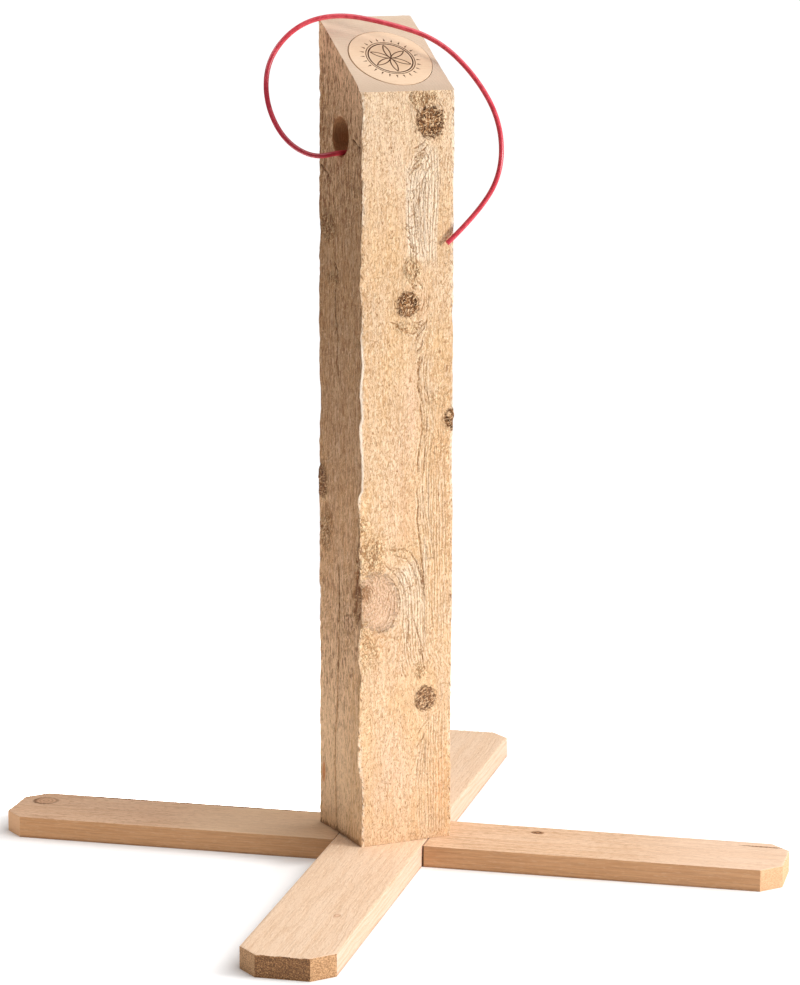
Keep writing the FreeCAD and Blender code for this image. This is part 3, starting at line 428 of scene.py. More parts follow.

# single marks of late wood and torn fibre, and one band of painted shade, placed one by one:
# half width, strength, and the points they run through
STROKES = [
    # round the topmost knot
    (0.7, 0.91, [(55.2, 783.2), (51.2, 778.2), (53.1, 773.3), (59.1, 768.9)]),
    (0.8, 1, [(62.9, 782.6), (70.3, 777.8), (72.0, 772.8), (66.6, 768.7)]),
    (0.7, 0.91, [(71.5, 779.5), (79.7, 776.4), (78.4, 773.0)]),
    (0.8, 1, [(54.4, 769.4), (60.4, 763.9), (58.8, 757.4)]),
    (0.7, 0.91, [(62.6, 771.1), (68.2, 765.6), (63.5, 760.3)]),
    (0.7, 0.8, [(82.3, 772.9), (86.9, 766.6), (86.7, 758.4)]),
    (0.6, 0.8, [(80.6, 778.3), (85.3, 772.0)]),
    (0.7, 0.8, [(57.9, 754.9), (60.9, 748.1), (67.8, 742.4)]),
    (0.6, 0.8, [(72.2, 739.0), (79.0, 742.1), (84.0, 747.3)]),
    # streaks below it, like a feather
    (0.75, 0.98, [(69.6, 737.0), (66.2, 732.8), (60.6, 728.8), (54.2, 726.3)]),
    (0.75, 0.98, [(72.6, 732.6), (69.2, 727.7), (63.6, 724.0), (57.6, 721.1)]),
    (0.75, 0.98, [(70.9, 726.5), (67.1, 722.4), (61.5, 719.9), (55.5, 717.0)]),
    (0.7, 0.98, [(67.5, 719.6), (63.6, 716.1), (58.5, 713.8)]),
    (0.7, 0.89, [(69.7, 722.3), (72.7, 717.1), (69.3, 713.4)]),
    (0.75, 0.98, [(66.2, 713.1), (60.7, 708.7), (54.2, 705.0), (50.4, 699.4)]),
    (0.7, 0.78, [(73.1, 714.8), (74.0, 708.9), (70.2, 704.8)]),
    (0.6, 0.78, [(60.6, 713.3), (54.6, 709.7)]),
    # the left border of the long figure below
    (0.6, 0.61, [(73.2, 710.9), (67.6, 697.9), (59.9, 690.1), (53.4, 685.3), (50.9, 682.3)]),
    (0.6, 0.68, [(60.7, 689.1), (54.7, 686.0), (57.3, 680.5), (53.1, 676.0)]),
    (0.6, 0.61, [(64.2, 686.0), (60.8, 678.0), (59.5, 670.3)]),
    (0.6, 0.61, [(53.9, 671.7), (56.5, 663.0), (54.8, 658.0)]),
    (0.7, 0.76, [(46.7, 654.9), (51.0, 650.8), (56.6, 649.0)]),
    (0.7, 0.76, [(46.3, 649.8), (51.9, 644.9), (54.5, 639.3)]),
    (0.7, 0.76, [(48.0, 642.4), (53.2, 635.9), (58.0, 629.4)]),
    (0.7, 0.76, [(50.6, 634.4), (56.2, 627.9), (61.0, 621.4)]),
    (0.6, 0.61, [(52.8, 628.9), (57.6, 623.6), (58.9, 618.8)]),
    # its long lines
    (0.55, 0.52, [(72.8, 703.2), (67.4, 685.9), (66.0, 670.4), (63.9, 651.0), (66.2, 635.3), (67.5, 625.0)]),
    (0.55, 0.52, [(77.1, 708.8), (73.7, 693.4), (72.4, 677.9), (70.4, 658.5), (72.6, 638.9), (73.1, 622.8)]),
    (0.6, 0.59, [(67.4, 703.4), (62.9, 686.1), (61.5, 670.6), (60.5, 655.0), (62.0, 639.4), (64.5, 622.8)]),
    (0.6, 0.59, [(58.6, 678.5), (57.4, 663.0), (58.3, 647.3), (61.0, 631.2)]),
    (0.5, 0.42, [(81.4, 712.5), (79.5, 693.2), (78.1, 673.8), (76.5, 654.3), (77.0, 637.9)]),
    (0.5, 0.35, [(85.7, 708.5), (84.5, 689.1), (83.3, 669.7)]),
    (0.5, 0.35, [(92.6, 712.1), (91.8, 702.4), (89.7, 692.8)]),
    # above and round the second knot
    (0.7, 0.94, [(50.8, 596.6), (55.5, 593.0), (61.2, 591.8)]),
    (0.7, 0.94, [(59.4, 597.7), (64.2, 592.6), (66.8, 587.5)]),
    (0.7, 0.85, [(54.2, 590.2), (60.3, 587.5)]),
    (0.6, 0.65, [(68.1, 581.2), (68.0, 573.3), (64.7, 565.6)]),
    (0.5, 0.56, [(73.3, 585.2), (73.4, 575.0), (70.0, 563.3)]),
    (0.6, 0.65, [(36.6, 580.9), (35.7, 573.5), (39.2, 565.5)]),
    (0.7, 0.85, [(29.7, 557.4), (38.4, 554.5), (45.3, 556.5)]),
    (0.7, 0.85, [(36.2, 551.9), (44.9, 549.0), (51.8, 551.0)]),
    (0.7, 0.85, [(47.0, 546.3), (55.7, 543.7), (62.6, 546.0)]),
    (0.7, 0.94, [(53.1, 556.8), (61.3, 554.2), (68.2, 557.1)]),
    (0.7, 0.85, [(55.2, 550.8), (63.5, 549.1), (70.4, 555.0)]),
    (0.75, 0.94, [(71.7, 558.5), (69.1, 550.0), (62.7, 542.5), (57.5, 538.4)]),
    (0.7, 0.85, [(67.5, 539.0), (64.7, 530.5), (58.8, 524.5)]),
    (0.6, 0.75, [(64.5, 522.6), (61.2, 514.8), (61.5, 510.1)]),
    # the long wavy dark line
    (0.9, 0.94, [(68.2, 523.9), (64.5, 514.6), (61.1, 506.9), (62.6, 498.9), (61.1, 491.1), (64.7, 478.9), (68.4, 470.3)]),
    (0.6, 0.66, [(71.5, 518.2), (70.2, 504.4), (69.0, 490.5), (73.8, 477.9)]),
    (0.6, 0.56, [(86.3, 531.1), (84.1, 521.4), (82.9, 509.5)]),
    (0.85, 0.94, [(64.7, 478.9), (63.8, 469.0), (66.1, 458.9), (67.4, 450.8), (64.8, 439.0), (62.7, 427.1), (61.4, 413.2), (62.6, 399.1)]),
    (0.6, 0.66, [(70.4, 466.5), (71.8, 450.5), (69.2, 438.7), (69.5, 418.6), (68.1, 398.7)]),
    (0.5, 0.47, [(66.2, 418.9), (65.5, 398.9)]),
    (0.85, 0.94, [(62.6, 398.4), (60.7, 384.5), (62.5, 372.3), (60.8, 356.3), (63.3, 339.9), (65.3, 325.6), (67.4, 309.2), (68.8, 294.8), (69.9, 280.5), (72.2, 263.1)]),
    (0.55, 0.56, [(68.3, 398.0), (67.1, 384.0), (68.7, 367.7), (67.4, 351.7), (69.2, 335.4)]),
    # arches right of the big pale knot
    (0.8, 0.81, [(24.2, 329.6), (34.6, 327.1), (45.6, 327.3), (54.3, 322.3), (61.0, 311.8), (65.4, 299.2), (67.7, 286.8), (69.5, 270.3)]),
    (0.8, 0.81, [(29.4, 323.9), (39.0, 320.8), (50.0, 316.4), (56.6, 308.1), (60.2, 295.6), (63.5, 282.7)]),
    (0.7, 0.72, [(29.9, 310.5), (41.2, 307.1), (48.1, 298.8), (52.5, 288.2), (54.9, 279.0)]),
    (0.7, 0.72, [(22.9, 315.2), (32.5, 306.3), (41.3, 297.4), (45.9, 286.8), (47.0, 275.7)]),
    (0.6, 0.72, [(25.1, 303.3), (34.7, 295.9), (40.4, 285.3), (42.7, 272.9), (41.4, 260.0)]),
    (0.6, 0.72, [(19.8, 299.7), (29.5, 290.4), (35.0, 279.7), (36.1, 269.4), (33.7, 257.1)]),
    (0.5, 0.62, [(30.4, 280.1), (31.7, 269.9), (29.5, 257.5), (23.9, 249.9)]),
    (0.6, 0.72, [(37.0, 257.2), (32.6, 249.0), (23.9, 244.6), (15.1, 243.5)]),
    (0.6, 0.72, [(49.3, 264.1), (52.2, 247.5), (50.3, 231.4), (57.2, 217.6)]),
    (0.7, 0.81, [(56.8, 257.3), (61.5, 242.5), (66.0, 227.7), (70.7, 216.2)]),
    (0.7, 0.81, [(62.7, 224.0), (68.0, 212.8), (70.5, 200.2)]),
    (0.7, 0.72, [(57.0, 208.2), (63.6, 203.4), (69.0, 204.1)]),
    (0.6, 0.62, [(44.2, 211.5), (46.0, 201.1), (50.4, 192.4)]),
    # on the pale knot
    (0.8, 0.5, [(0.3, 304.4), (8.5, 306.0), (17.4, 301.6), (22.5, 291.0), (22.9, 280.8)]),
    (0.9, 0.56, [(4.6, 296.7), (9.0, 290.6), (6.4, 285.6)]),
    (0.7, 0.5, [(8.6, 274.5), (13.4, 272.8), (15.5, 275.9)]),
    (0.6, 0.39, [(12.9, 295.9), (16.8, 287.5), (16.4, 277.4)]),
    (0.7, 0.5, [(0.3, 270.9), (6.4, 270.3)]),
    (0.7, 0.5, [(2.9, 247.9), (8.6, 244.5), (15.1, 241.0)]),
    (0.7, 0.5, [(2.1, 236.2), (8.6, 229.5), (15.2, 228.8)]),
    (0.8, 0.5, [(8.5, 328.6), (15.0, 324.0), (22.0, 325.0)]),
    (0.8, 0.5, [(6.3, 318.7), (13.3, 315.3), (19.8, 318.7)]),
    (0.7, 0.5, [(4.2, 335.0), (9.4, 330.9), (13.3, 333.8)]),
    (0.7, 0.45, [(28.3, 238.5), (37.0, 236.8), (43.6, 238.2)]),
    # below the lowest knot
    (0.6, 0.5, [(58.9, 169.3), (60.7, 162.1), (66.5, 156.9)]),
    (0.7, 0.56, [(77.2, 152.0), (72.8, 146.3), (66.1, 138.8), (61.7, 131.0)]),
    (0.8, 0.62, [(71.7, 136.1), (68.6, 128.2), (63.1, 122.6), (60.0, 116.7)]),
    (0.7, 0.5, [(66.2, 120.1), (63.6, 108.0), (61.9, 95.7), (63.0, 83.1)]),
    (0.5, 0.37, [(75.1, 131.6), (70.7, 117.5), (68.5, 99.1)]),
    (0.5, 0.31, [(88.4, 148.7), (84.0, 136.8), (81.8, 122.5)]),
    (0.7, 0.62, [(63.2, 211.2), (66.3, 204.7), (68.5, 198.3)]),
    (0.7, 0.62, [(61.4, 207.3), (64.1, 196.7), (65.9, 190.4)]),
    (0.6, 0.5, [(70.3, 202.3), (68.6, 194.2)]),
    (0.5, 0.37, [(48.3, 159.4), (53.9, 152.6), (52.8, 144.4), (57.3, 135.7)]),
    (0.5, 0.37, [(41.7, 158.0), (46.1, 147.2)]),
    # the left face
    (0.7, 0.75, [(-15.5, 791.0), (-10.0, 785.6), (-4.5, 780.3)]),
    (0.8, 0.86, [(-64.5, 808.0), (-62.5, 797.0), (-57.5, 789.0), (-55.0, 778.0)]),
    (0.7, 0.75, [(-69.0, 790.0), (-67.0, 781.0), (-68.0, 772.0)]),
    (0.6, 0.68, [(-80.0, 802.0), (-78.0, 786.0)]),
    (0.6, 0.68, [(-44.0, 797.0), (-41.0, 784.0), (-43.0, 771.0)]),
    (0.6, 0.60, [(-30.0, 790.0), (-28.0, 770.0), (-30.0, 752.0)]),
    # painted shade: a dark band on the left face's side of the arris
    (0.9, 0.75, [(-3.0, 772.0), (-1.8, 752.0), (-3.0, 733.0)]),
    (0.6, 0.60, [(-90.0, 770.0), (-88.0, 748.0), (-91.0, 728.0)]),
    (0.6, 0.60, [(-80.0, 690.0), (-76.0, 672.0), (-79.0, 655.0)]),
    (0.6, 0.60, [(-35.0, 700.0), (-33.0, 676.0), (-36.0, 650.0), (-34.0, 622.0)]),
    (0.7, 0.68, [(-94.9, 706.8), (-87.7, 703.3), (-79.6, 697.1)]),
    (0.6, 0.6, [(-70.1, 654.7), (-61.6, 647.7), (-62.6, 637.7), (-70.2, 625.1)]),
    (0.6, 0.6, [(-76.0, 614.5), (-66.4, 609.7), (-56.9, 602.8)]),
    (0.7, 0.75, [(-64.6, 593.4), (-62.7, 581.7), (-61.8, 569.9), (-56.5, 554.7), (-60.4, 542.2), (-52.8, 537.3)]),
    (0.7, 0.75, [(-60.0, 518.4), (-57.1, 500.8), (-49.5, 489.1)]),
    (0.7, 0.75, [(-8.0, 548.7), (-1.5, 544.0), (0.3, 536.4)]),
    (0.5, 0.52, [(-57.3, 442.6), (-63.1, 427.6), (-74.7, 413.5)]),
    (0.6, 0.52, [(-52.7, 302.9), (-55.2, 277.8), (-52.8, 259.9), (-50.9, 241.8), (-45.6, 230.6), (-37.4, 225.4)]),
    (0.5, 0.45, [(-40.2, 305.3), (-45.5, 288.0), (-44.1, 271.9), (-40.3, 256.4)]),
    (0.7, 0.68, [(-9.7, 263.6), (-30.7, 256.3), (-39.3, 248.4), (-39.3, 240.2), (-26.8, 239.6), (-10.7, 249.6)]),
    (0.7, 0.68, [(-25.9, 255.3), (-20.2, 252.4), (-25.9, 245.9)]),
    (0.8, 0.75, [(-5.0, 306.6), (-15.4, 302.9), (-24.9, 295.2), (-25.9, 287.9), (-22.1, 278.5), (-11.6, 270.5)]),
    (0.6, 0.6, [(-52.9, 218.7), (-38.4, 219.4), (-22.1, 225.5)]),
    (0.6, 0.6, [(-52.9, 227.0), (-40.3, 226.4)]),
    (0.5, 0.45, [(-34.5, 316.6), (-28.7, 309.6), (-35.4, 300.2)]),
    (0.6, 0.6, [(-61.7, 204.0), (-57.8, 186.2), (-54.9, 164.1), (-60.9, 141.9), (-65.8, 119.8), (-63.9, 99.3)]),
    (0.8, 0.75, [(-7.3, 185.5), (-4.9, 167.6), (-6.3, 148.8)]),
    (0.8, 0.75, [(-11.6, 137.3), (-10.6, 125.1), (-11.5, 104.3)]),
    (0.6, 0.68, [(-26.4, 112.9), (-25.9, 96.4)]),
    (0.7, 0.75, [(-63.9, 78.3), (-63.0, 57.5), (-64.5, 36.1), (-63.1, 25.9)]),
    # the right and the back face
    (0.7, 0.77, [(150.0, 596.0), (146.0, 570.0), (141.5, 548.0)]),
    (0.7, 0.77, [(156.0, 594.0), (157.0, 570.0), (153.0, 540.0), (152.0, 500.0)]),
    (0.8, 0.85, [(141.0, 634.0), (147.0, 650.0), (158.0, 648.0)]),
    (0.8, 0.85, [(160.0, 632.0), (166.0, 645.0), (163.0, 662.0)]),
    (0.8, 0.85, [(120.0, 329.0), (121.0, 300.0), (125.0, 270.0)]),
    (0.7, 0.77, [(162.0, 142.0), (160.0, 170.0), (165.0, 200.0)]),
    (0.8, 0.85, [(222.0, 718.0), (226.0, 735.0), (238.0, 733.0)]),
    (0.8, 0.85, [(238.0, 688.0), (242.0, 660.0), (240.0, 630.0), (236.0, 590.0)]),
    (0.8, 0.77, [(250.0, 530.0), (258.0, 541.0), (272.0, 536.0), (280.0, 520.0)]),
    (0.8, 0.77, [(244.0, 510.0), (243.0, 480.0), (250.0, 455.0)]),
    (0.8, 0.77, [(282.0, 500.0), (279.0, 470.0), (272.0, 440.0), (270.0, 400.0)]),
    (0.7, 0.77, [(264.0, 128.0), (262.0, 100.0), (266.0, 70.0)]),
    (0.7, 0.77, [(216.0, 310.0), (214.0, 340.0), (218.0, 380.0)]),
]

# how far each arris stands to the right of its true line, up the post
ARRIS_LEFT = [
    (22, -0.6), (33, -0.9), (50, 0.0), (90, 0.2), (100, -3.6), (122, -4.6), (145, -3.6), (165, -3.0), (185, -2.4), (200, -1.2),
    (216, -4.2), (230, -4.2), (243, -3.2), (252, -1.4), (262, -0.4), (288, -0.6), (298, -2.6), (330, -2.9), (352, -2.6),
    (372, -3.6), (382, -4.0), (392, -0.6), (408, -0.2), (424, -0.9), (440, -2.3), (456, -3.1), (464, -0.4), (476, -1.9),
    (490, -2.6), (502, -1.4), (514, -0.4), (530, -0.6), (543, -1.8), (554, -0.9), (570, -0.2), (582, -1.4), (596, -3.1),
    (606, -2.2), (618, -1.0), (636, -0.9), (658, -0.1), (696, -0.2), (713, -0.9), (732, -0.1), (746, -0.9), (761, 1.0),
    (772, 0.1), (784, -2.2), (852, -1.5),
]

# soft patches of colour: middle, half sizes, pink, orange, smoothness
PATCHES = [
    (56.0, 470.0, 7.0, 40.0, 0.8, 0.0, 0.9),
    (60.0, 655.0, 14.0, 45.0, 0.5, 0.0, 0.7),
    (48.0, 400.0, 12.0, 60.0, 0.3, 0.25, 0.3),
    (20.0, 275.0, 16.0, 24.0, 1.0, 0.0, 0.6),
    (17.0, 236.0, 14.0, 9.0, 0.3, 1.0, 0.0),
    (40.0, 205.0, 26.0, 26.0, 0.45, 0.0, 0.55),
    (35.0, 95.0, 30.0, 60.0, 0.5, 0.0, 0.3),
    (88.0, 80.0, 15.0, 70.0, 0.0, 1.25, 0.0),
    (86.0, 300.0, 14.0, 90.0, 0.0, 0.5, 0.0),
    (88.0, 430.0, 15.0, 60.0, 0.0, 0.65, 0.0),
    (52.0, 230.0, 14.0, 16.0, 0.0, 0.45, 0.0),
    (45.0, 350.0, 16.0, 22.0, 0.4, 0.35, 0.4),
    (66.0, 574.0, 6.0, 14.0, 0.3, 0.7, 0.0),
    (30.0, 720.0, 24.0, 40.0, 0.35, 0.0, 0.25),
    (-92.2, 78.0, 5.0, 15.0, 0.0, 2.2, 0.0),
    (-50.0, 120.0, 8.0, 60.0, 0.8, 0.0, 0.6),
    (-30.0, 250.0, 12.0, 14.0, 0.5, 1.0, 0.0),
    (-80.0, 335.0, 14.0, 30.0, 0.0, 0.8, 0.0),
    (-35.0, 380.0, 10.0, 90.0, 0.2, 0.0, 0.8),
    (-6.0, 88.0, 6.0, 17.0, 1.2, 0.0, 1.0),
    (150.0, 470.0, 10.0, 60.0, 0.7, 0.0, 0.7),
    (180.0, 240.0, 14.0, 80.0, 0.0, 0.6, 0.0),
    (125.0, 180.0, 20.0, 60.0, 0.5, 0.0, 0.4),
    (245.0, 620.0, 18.0, 60.0, 0.6, 0.0, 0.6),
    (215.0, 420.0, 14.0, 90.0, 0.0, 0.6, 0.0),
    (285.0, 300.0, 14.0, 80.0, 0.4, 0.2, 0.4),
]


def grain_shift(S, z):
    """How far the fibres' line at (S, z) has been pushed aside by the knots."""
    push = np.zeros(S.shape)
    for at, zk, a, b, _, _ in KNOTS:
        ds, dz = around(S, at), (z - zk) * a / b / 1.5
        r2 = ds * ds + dz * dz
        push += ds * a * a / (r2 + 0.55 * a * a) * np.exp(-r2 / (9 * a * a))
    wander = 3.0 * wrap_noise(S, z, 40.0, 170.0, 5) + 0.8 * wrap_noise(S, z, 12.0, 55.0, 6)
    core = np.zeros(S.shape)
    for at, zk, a, b, _, _ in KNOTS:
        core = np.maximum(core, 1 - smooth(np.hypot(around(S, at) / a, (z - zk) / b), 0.75, 1.15))
    return push * (1 - core) + wander


def features(S, z):
    """What the surface carries at each place, and how far it stands out, in mm."""
    n = S.shape
    out = {}
    knot = np.full(n, -1.0)
    kx, kz, pale = np.zeros(n), np.zeros(n), np.zeros(n)
    for at, zk, a, b, tone, tilt in KNOTS:
        ds, dz = around(S, at), z - zk
        du = (ds * math.cos(tilt) - dz * math.sin(tilt)) / a
        dv = (ds * math.sin(tilt) + dz * math.cos(tilt)) / b
        inside = 1.0 - np.hypot(du, dv)
        nearer = inside > knot
        knot = np.where(nearer, inside, knot)
        kx, kz = np.where(nearer, du * a, kx), np.where(nearer, dv * b, kz)
        pale = np.where(nearer, tone, pale)
    torn = np.zeros(n)
    for at, zk, a, b, strength in TORN:
        q = np.hypot(around(S, at) / a, (z - zk) / b)
        q = q + 0.34 * wrap_noise(S, z, 11.0, 16.0, 40, 2)
        torn = np.maximum(torn, strength * (1 - smooth(q, 0.40, 1.30)))
    line, drawn = np.zeros(n), np.zeros(n)
    for pts, lo, hi, gap, strength, fade in LINES:
        d, s = along_line(S, z, pts)
        w = smooth(s, 0.0, fade) * (1 - smooth(s, 1.0 - fade, 1.0))
        w = w * smooth(d, lo - 1.2, lo + 0.6) * (1 - smooth(d, hi - 3.0, hi + 1.0)) * strength
        w = w * (s > -0.02) * (s < 1.02)
        take = w > drawn
        drawn = np.where(take, w, drawn)
        line = np.where(take, d / gap, line)
    crack, open_ = np.full(n, 6.0), np.zeros(n)
    for pts, half, depth in CRACKS:
        d, s = along_line(S, z, pts)
        w = smooth(s, 0.0, 0.12) * (1 - smooth(s, 0.86, 1.0)) if pts[-1][1] > 25 else smooth(s, 0.0, 0.15)
        take = np.abs(d) < np.abs(crack)
        crack = np.where(take, d, crack)
        open_ = np.where(take, w * depth / 3.2, open_)
    stroke, inked = np.full(n, 9.0), np.zeros(n)
    for half, dark, pts in STROKES:
        c, zs = np.mean([q[0] for q in pts]), [q[1] for q in pts]
        on_left = -100.0 < c < -1.0
        half = half * (1.9 if on_left else 1.0)
        reach = max(abs(q[0] - c) for q in pts) + 8.0
        m = np.where((np.abs(around(S, c)) < reach) & (z > min(zs) - 6.0) & (z < max(zs) + 6.0))[0]
        if not len(m):
            continue
        d, s = along_line(S[m], z[m], pts)
        w = dark * smooth(s, -0.02, 0.16) * (1 - smooth(s, 0.84, 1.02)) * bell(d, 3.8 if on_left else 2.3)
        take = w > inked[m]
        inked[m] = np.where(take, w, inked[m])
        stroke[m] = np.where(take, d / half, stroke[m])
    pink, orange, even = np.zeros(n), np.zeros(n), np.zeros(n)
    for at, zk, a, b, p_, o_, e_ in PATCHES:
        w = np.exp(-(around(S, at) / a) ** 2 - ((z - zk) / b) ** 2)
        pink, orange, even = pink + p_ * w, orange + o_ * w, even + e_ * w
    # the arrises: distance to the nearest, and which ones are frayed
    edge = np.minimum.reduce([np.abs(around(S, c)) for c in (-100.0, 0.0, 100.0, 200.0)])

    # ---- relief
    h = 0.40 * wrap_noise(S, z, 50.0, 150.0, 1) + 0.22 * wrap_noise(S, z, 13.0, 70.0, 2)
    coarse = 0.75 + 0.45 * wrap_noise(S, z, 28.0, 60.0, 3) - 0.45 * np.clip(even, 0, 1)
    coarse = coarse - 0.22 * smooth(-z, -330.0, -210.0) - 0.20 * smooth(-z, -170.0, -60.0)
    h = h + np.clip(coarse, 0.15, 2) * (
        0.17 * wrap_noise(S, z, 3.1, 11.0, 4) + 0.13 * wrap_noise(S, z, 2.5, 6.0, 7)
    )
    ragged = wrap_noise(S, z, 4.0, 5.0, 8, 2)
    h = h + torn * (1.05 * ragged + 0.55 * wrap_noise(S, z, 2.6, 5.4, 9) - 0.15)
    dark_knot = smooth(knot, -0.05, 0.25) * (1 - pale)
    h = h + 0.35 * smooth(knot, -0.7, 0.3) - dark_knot * 0.3
    h = h + dark_knot * 0.55 * wrap_noise(S, z, 2.9, 5.4, 10)
    # the big knot on the arris: the wood beside it on the left face is torn out
    q = np.hypot((around(S, -9.5) - 0.10 * (z - 281.0)) / 13.0, (z - 281.0) / 28.0) + 0.10 * wrap_noise(S, z, 7.0, 9.0, 41)
    scoop = (1 - smooth(q, 0.72, 1.02)) * smooth(-around(S, 0.5), 0.0, 3.0)
    h = h - scoop * (2.4 + 0.9 * wrap_noise(S, z, 4.0, 7.0, 11))
    ridge = drawn * (0.5 - 0.5 * np.cos(2 * math.pi * line))
    h = h + 0.22 * (ridge - 0.6 * drawn)
    h = h - 0.28 * inked * bell(stroke, 1.8) + 0.12 * inked * bell(np.abs(stroke) - 3.2, 1.5)
    h = h - 3.0 * open_ * bell(crack, 0.95)
    # fibres broken off along the arrises
    near = bell(edge, 3.2)
    frayed = 0.5 + 0.5 * wrap_noise(S * 0 + 13.0, z + 900 * np.round((S + 100) / 100.0), 40.0, 45.0, 12)
    nick = np.clip(wrap_noise(S, z, 16.0, 8.0, 13, 2) - 0.12, 0, 1) * (0.6 + 1.6 * frayed)
    nick = nick * (1 - 0.75 * smooth(z, 365, 390) * (1 - smooth(z, 530, 560)) * (np.abs(around(S, 0.0)) < 50))
    calm = 1.0 - 0.6 * (np.abs(around(S, 100.0)) < 50) - 0.35 * (np.abs(around(S, -100.0)) < 50)
    front_left = np.abs(around(S, 0.0)) < 50
    calm = calm * (1 - front_left * (0.45 * smooth(-z, -250.0, -205.0) + 0.30 * smooth(z, 380.0, 420.0)))
    h = h - near * (0.1 + 1.5 * nick * calm) + 0.45 * near * calm * wrap_noise(S, z, 25.0, 4.2 + 1.8 * front_left, 14)
    for at, zk, a, b, deep in ((-4.0, 541.0, 6.5, 7.0, 3.0), (-3.0, 352.0, 8.0, 16.0, 1.2), (-7.0, 88.0, 6.0, 18.0, 1.7),
                               (103.0, 690.0, 5.0, 14.0, 1.3), (99.0, 560.0, 4.0, 9.0, 1.1), (198.0, 300.0, 6.0, 18.0, 2.0),
                               (-101.0, 640.0, 5.0, 12.0, 1.2), (302.0, 470.0, 6.0, 16.0, 1.8)):
        h = h - deep * np.exp(-(around(S, at) / a) ** 2 - ((z - zk) / b) ** 4)
    # two knots stand out of the silhouette
    h = h + 1.3 * np.exp(-(around(S, 100.5) / 6.0) ** 2 - ((z - 456.0) / 10.0) ** 4)
    h = h + 1.2 * np.exp(-(around(S, -98.0) / 8.0) ** 2 - ((z - 383.0) / 14.0) ** 4)
    out["h"] = np.clip(h, -4.5, 2.4)
    out["marks"] = np.stack([knot, np.clip(torn, 0, 1) * (0.66 + 0.30 * (np.abs(around(S, -52.0)) < 48)), scoop], -1)
    out["knot_place"] = np.stack([kx, kz, pale], -1)
    out["lines"] = np.stack([line, drawn, np.clip(even, 0, 1)], -1)
    out["cracks"] = np.stack([crack, open_, edge], -1)
    # the left face, and the back at half strength: streakier, worn wood, and also where the material paints light and
    # shade on the left face
    wear_and_shade_side = smooth(-around(S, 1.2), 0.0, 2.0) * (np.abs(around(S, -50.0)) < 60) + 0.5 * (np.abs(around(S, 200.0)) < 99.0)
    y_here = np.where(np.abs(around(S, -50.0)) <= 50, -42.0 - around(S, 0.0), -42.0)
    out["rim"] = np.stack([z_top(y_here) - z, S, z], -1)
    out["strokes"] = np.stack([stroke, inked, np.clip(wear_and_shade_side, 0, 1)], -1)
    out["tint"] = np.stack([pink, orange, frayed], -1)
    return out


# --------------------------------------------------------- the post: its mesh

def perimeter(S):
    """The square's outline at S, with slightly rounded corners: place, normal."""
    S = (S + 100.0) % 400.0
    k = np.minimum(np.floor(S / 100.0).astype(int), 3)
    u = S - 100.0 * k
    start = np.array([(X0, Y1), (X0, Y0), (X1, Y0), (X1, Y1)])
    step = np.array([(0, -1.0), (1.0, 0), (0, 1.0), (-1.0, 0)])
    nrm = np.array([(-1.0, 0), (0, -1.0), (1.0, 0), (0, 1.0)])
    pos = start[k] + step[k] * u[:, None]
    normal = nrm[k].copy()
    rc = 1.5
    corner = np.where(u < rc, k, np.where(u > 100 - rc, (k + 1) % 4, -1))
    a = np.where(u < rc, u, u - 100.0) / rc
    m = corner >= 0
    c = corner[m]
    ang = np.radians(np.array([135.0, 225.0, 315.0, 45.0])[c] + 45.0 * a[m])
    inward = np.array([(1, -1), (1, 1), (-1, 1), (-1, -1)])[c] * rc
    way = np.stack([np.cos(ang), np.sin(ang)], -1)
    pos[m] = start[c] + inward + rc * way
    normal[m] = way
    return pos, normal


def z_top(y):
    return Z_LOW + (y - Y0) * math.tan(SLOPE)


def foot_gap(S):
    """The sawn foot isn't quite flat: it leaves a dark gap here and there."""
    g = 0.25 + 0.25 * wrap_noise(S, S * 0 + 3.0, 12.0, 10.0, 30)
    g = g + 1.5 * np.exp(-(around(S, -52.0) / 26.0) ** 4) * (0.75 + 0.25 * wrap_noise(S, S * 0 + 8.0, 6.0, 10.0, 31))
    return g + 0.5 * np.exp(-(around(S, 240.0) / 30.0) ** 2)


cols = []
for first, cells in ((-100.0, 77), (0.0, 77), (100.0, 55), (200.0, 55)):
    cols += [first, first + 0.75]
    cols += list(np.linspace(first + 1.5, first + 98.5, cells + 1))
    cols += [first + 99.25]
cols = np.array(cols)
NC = len(cols)
NR = 318
rows = np.linspace(0.0, 1.0, NR + 1)

S_all, T_all = [np.tile(cols, NR + 1)], [np.repeat(rows, NC)]
grid = np.arange((NR + 1) * NC).reshape(NR + 1, NC)
count = grid.size
BORE_Y, BORE_Z, BORE_R = 9.5, 737.0, 19.0


def ring_of(j0, j1, i0, i1):
    """Indices round a rectangle of the grid, anticlockwise from its low corner."""
    ring = [grid[i0, j] for j in range(j0, j1)]
    ring += [grid[i, j1] for i in range(i0, i1)]
    ring += [grid[i1, j] for j in range(j1, j0, -1)]
    ring += [grid[i, j0] for i in range(i1, i0, -1)]
    return np.array(ring)


def height(S, tt):
    pos, _ = perimeter(S)
    return Z_FOOT + tt * (z_top(pos[:, 1]) - Z_FOOT)


holes, faces, mats = [], [], []
keep = np.ones((NR, NC), bool)
for at, dj, di in ((-51.5, 19, 10), (151.5, 14, 15)):
    jc = int(np.argmin(np.abs(cols - at)))
    ic = int(round((BORE_Z - Z_FOOT) / (float(z_top(BORE_Y)) - Z_FOOT) * NR))
    j0, j1, i0, i1 = jc - dj, jc + dj, ic - di, ic + di
    keep[i0:i1, j0:j1] = False
    ring = ring_of(j0, j1, i0, i1)
    Sr, Tr = S_all[0][ring], T_all[0][ring]
    zr = height(Sr, Tr)
    ang = np.arctan2(zr - BORE_Z, Sr - at)
    holes.append({"at": at, "ring": ring, "ang": ang, "S": Sr, "z": zr})
if len(holes[0]["ring"]) != len(holes[1]["ring"]):
    raise SystemExit("the two ends of the bore don't match")
n_bore = len(holes[0]["ring"])

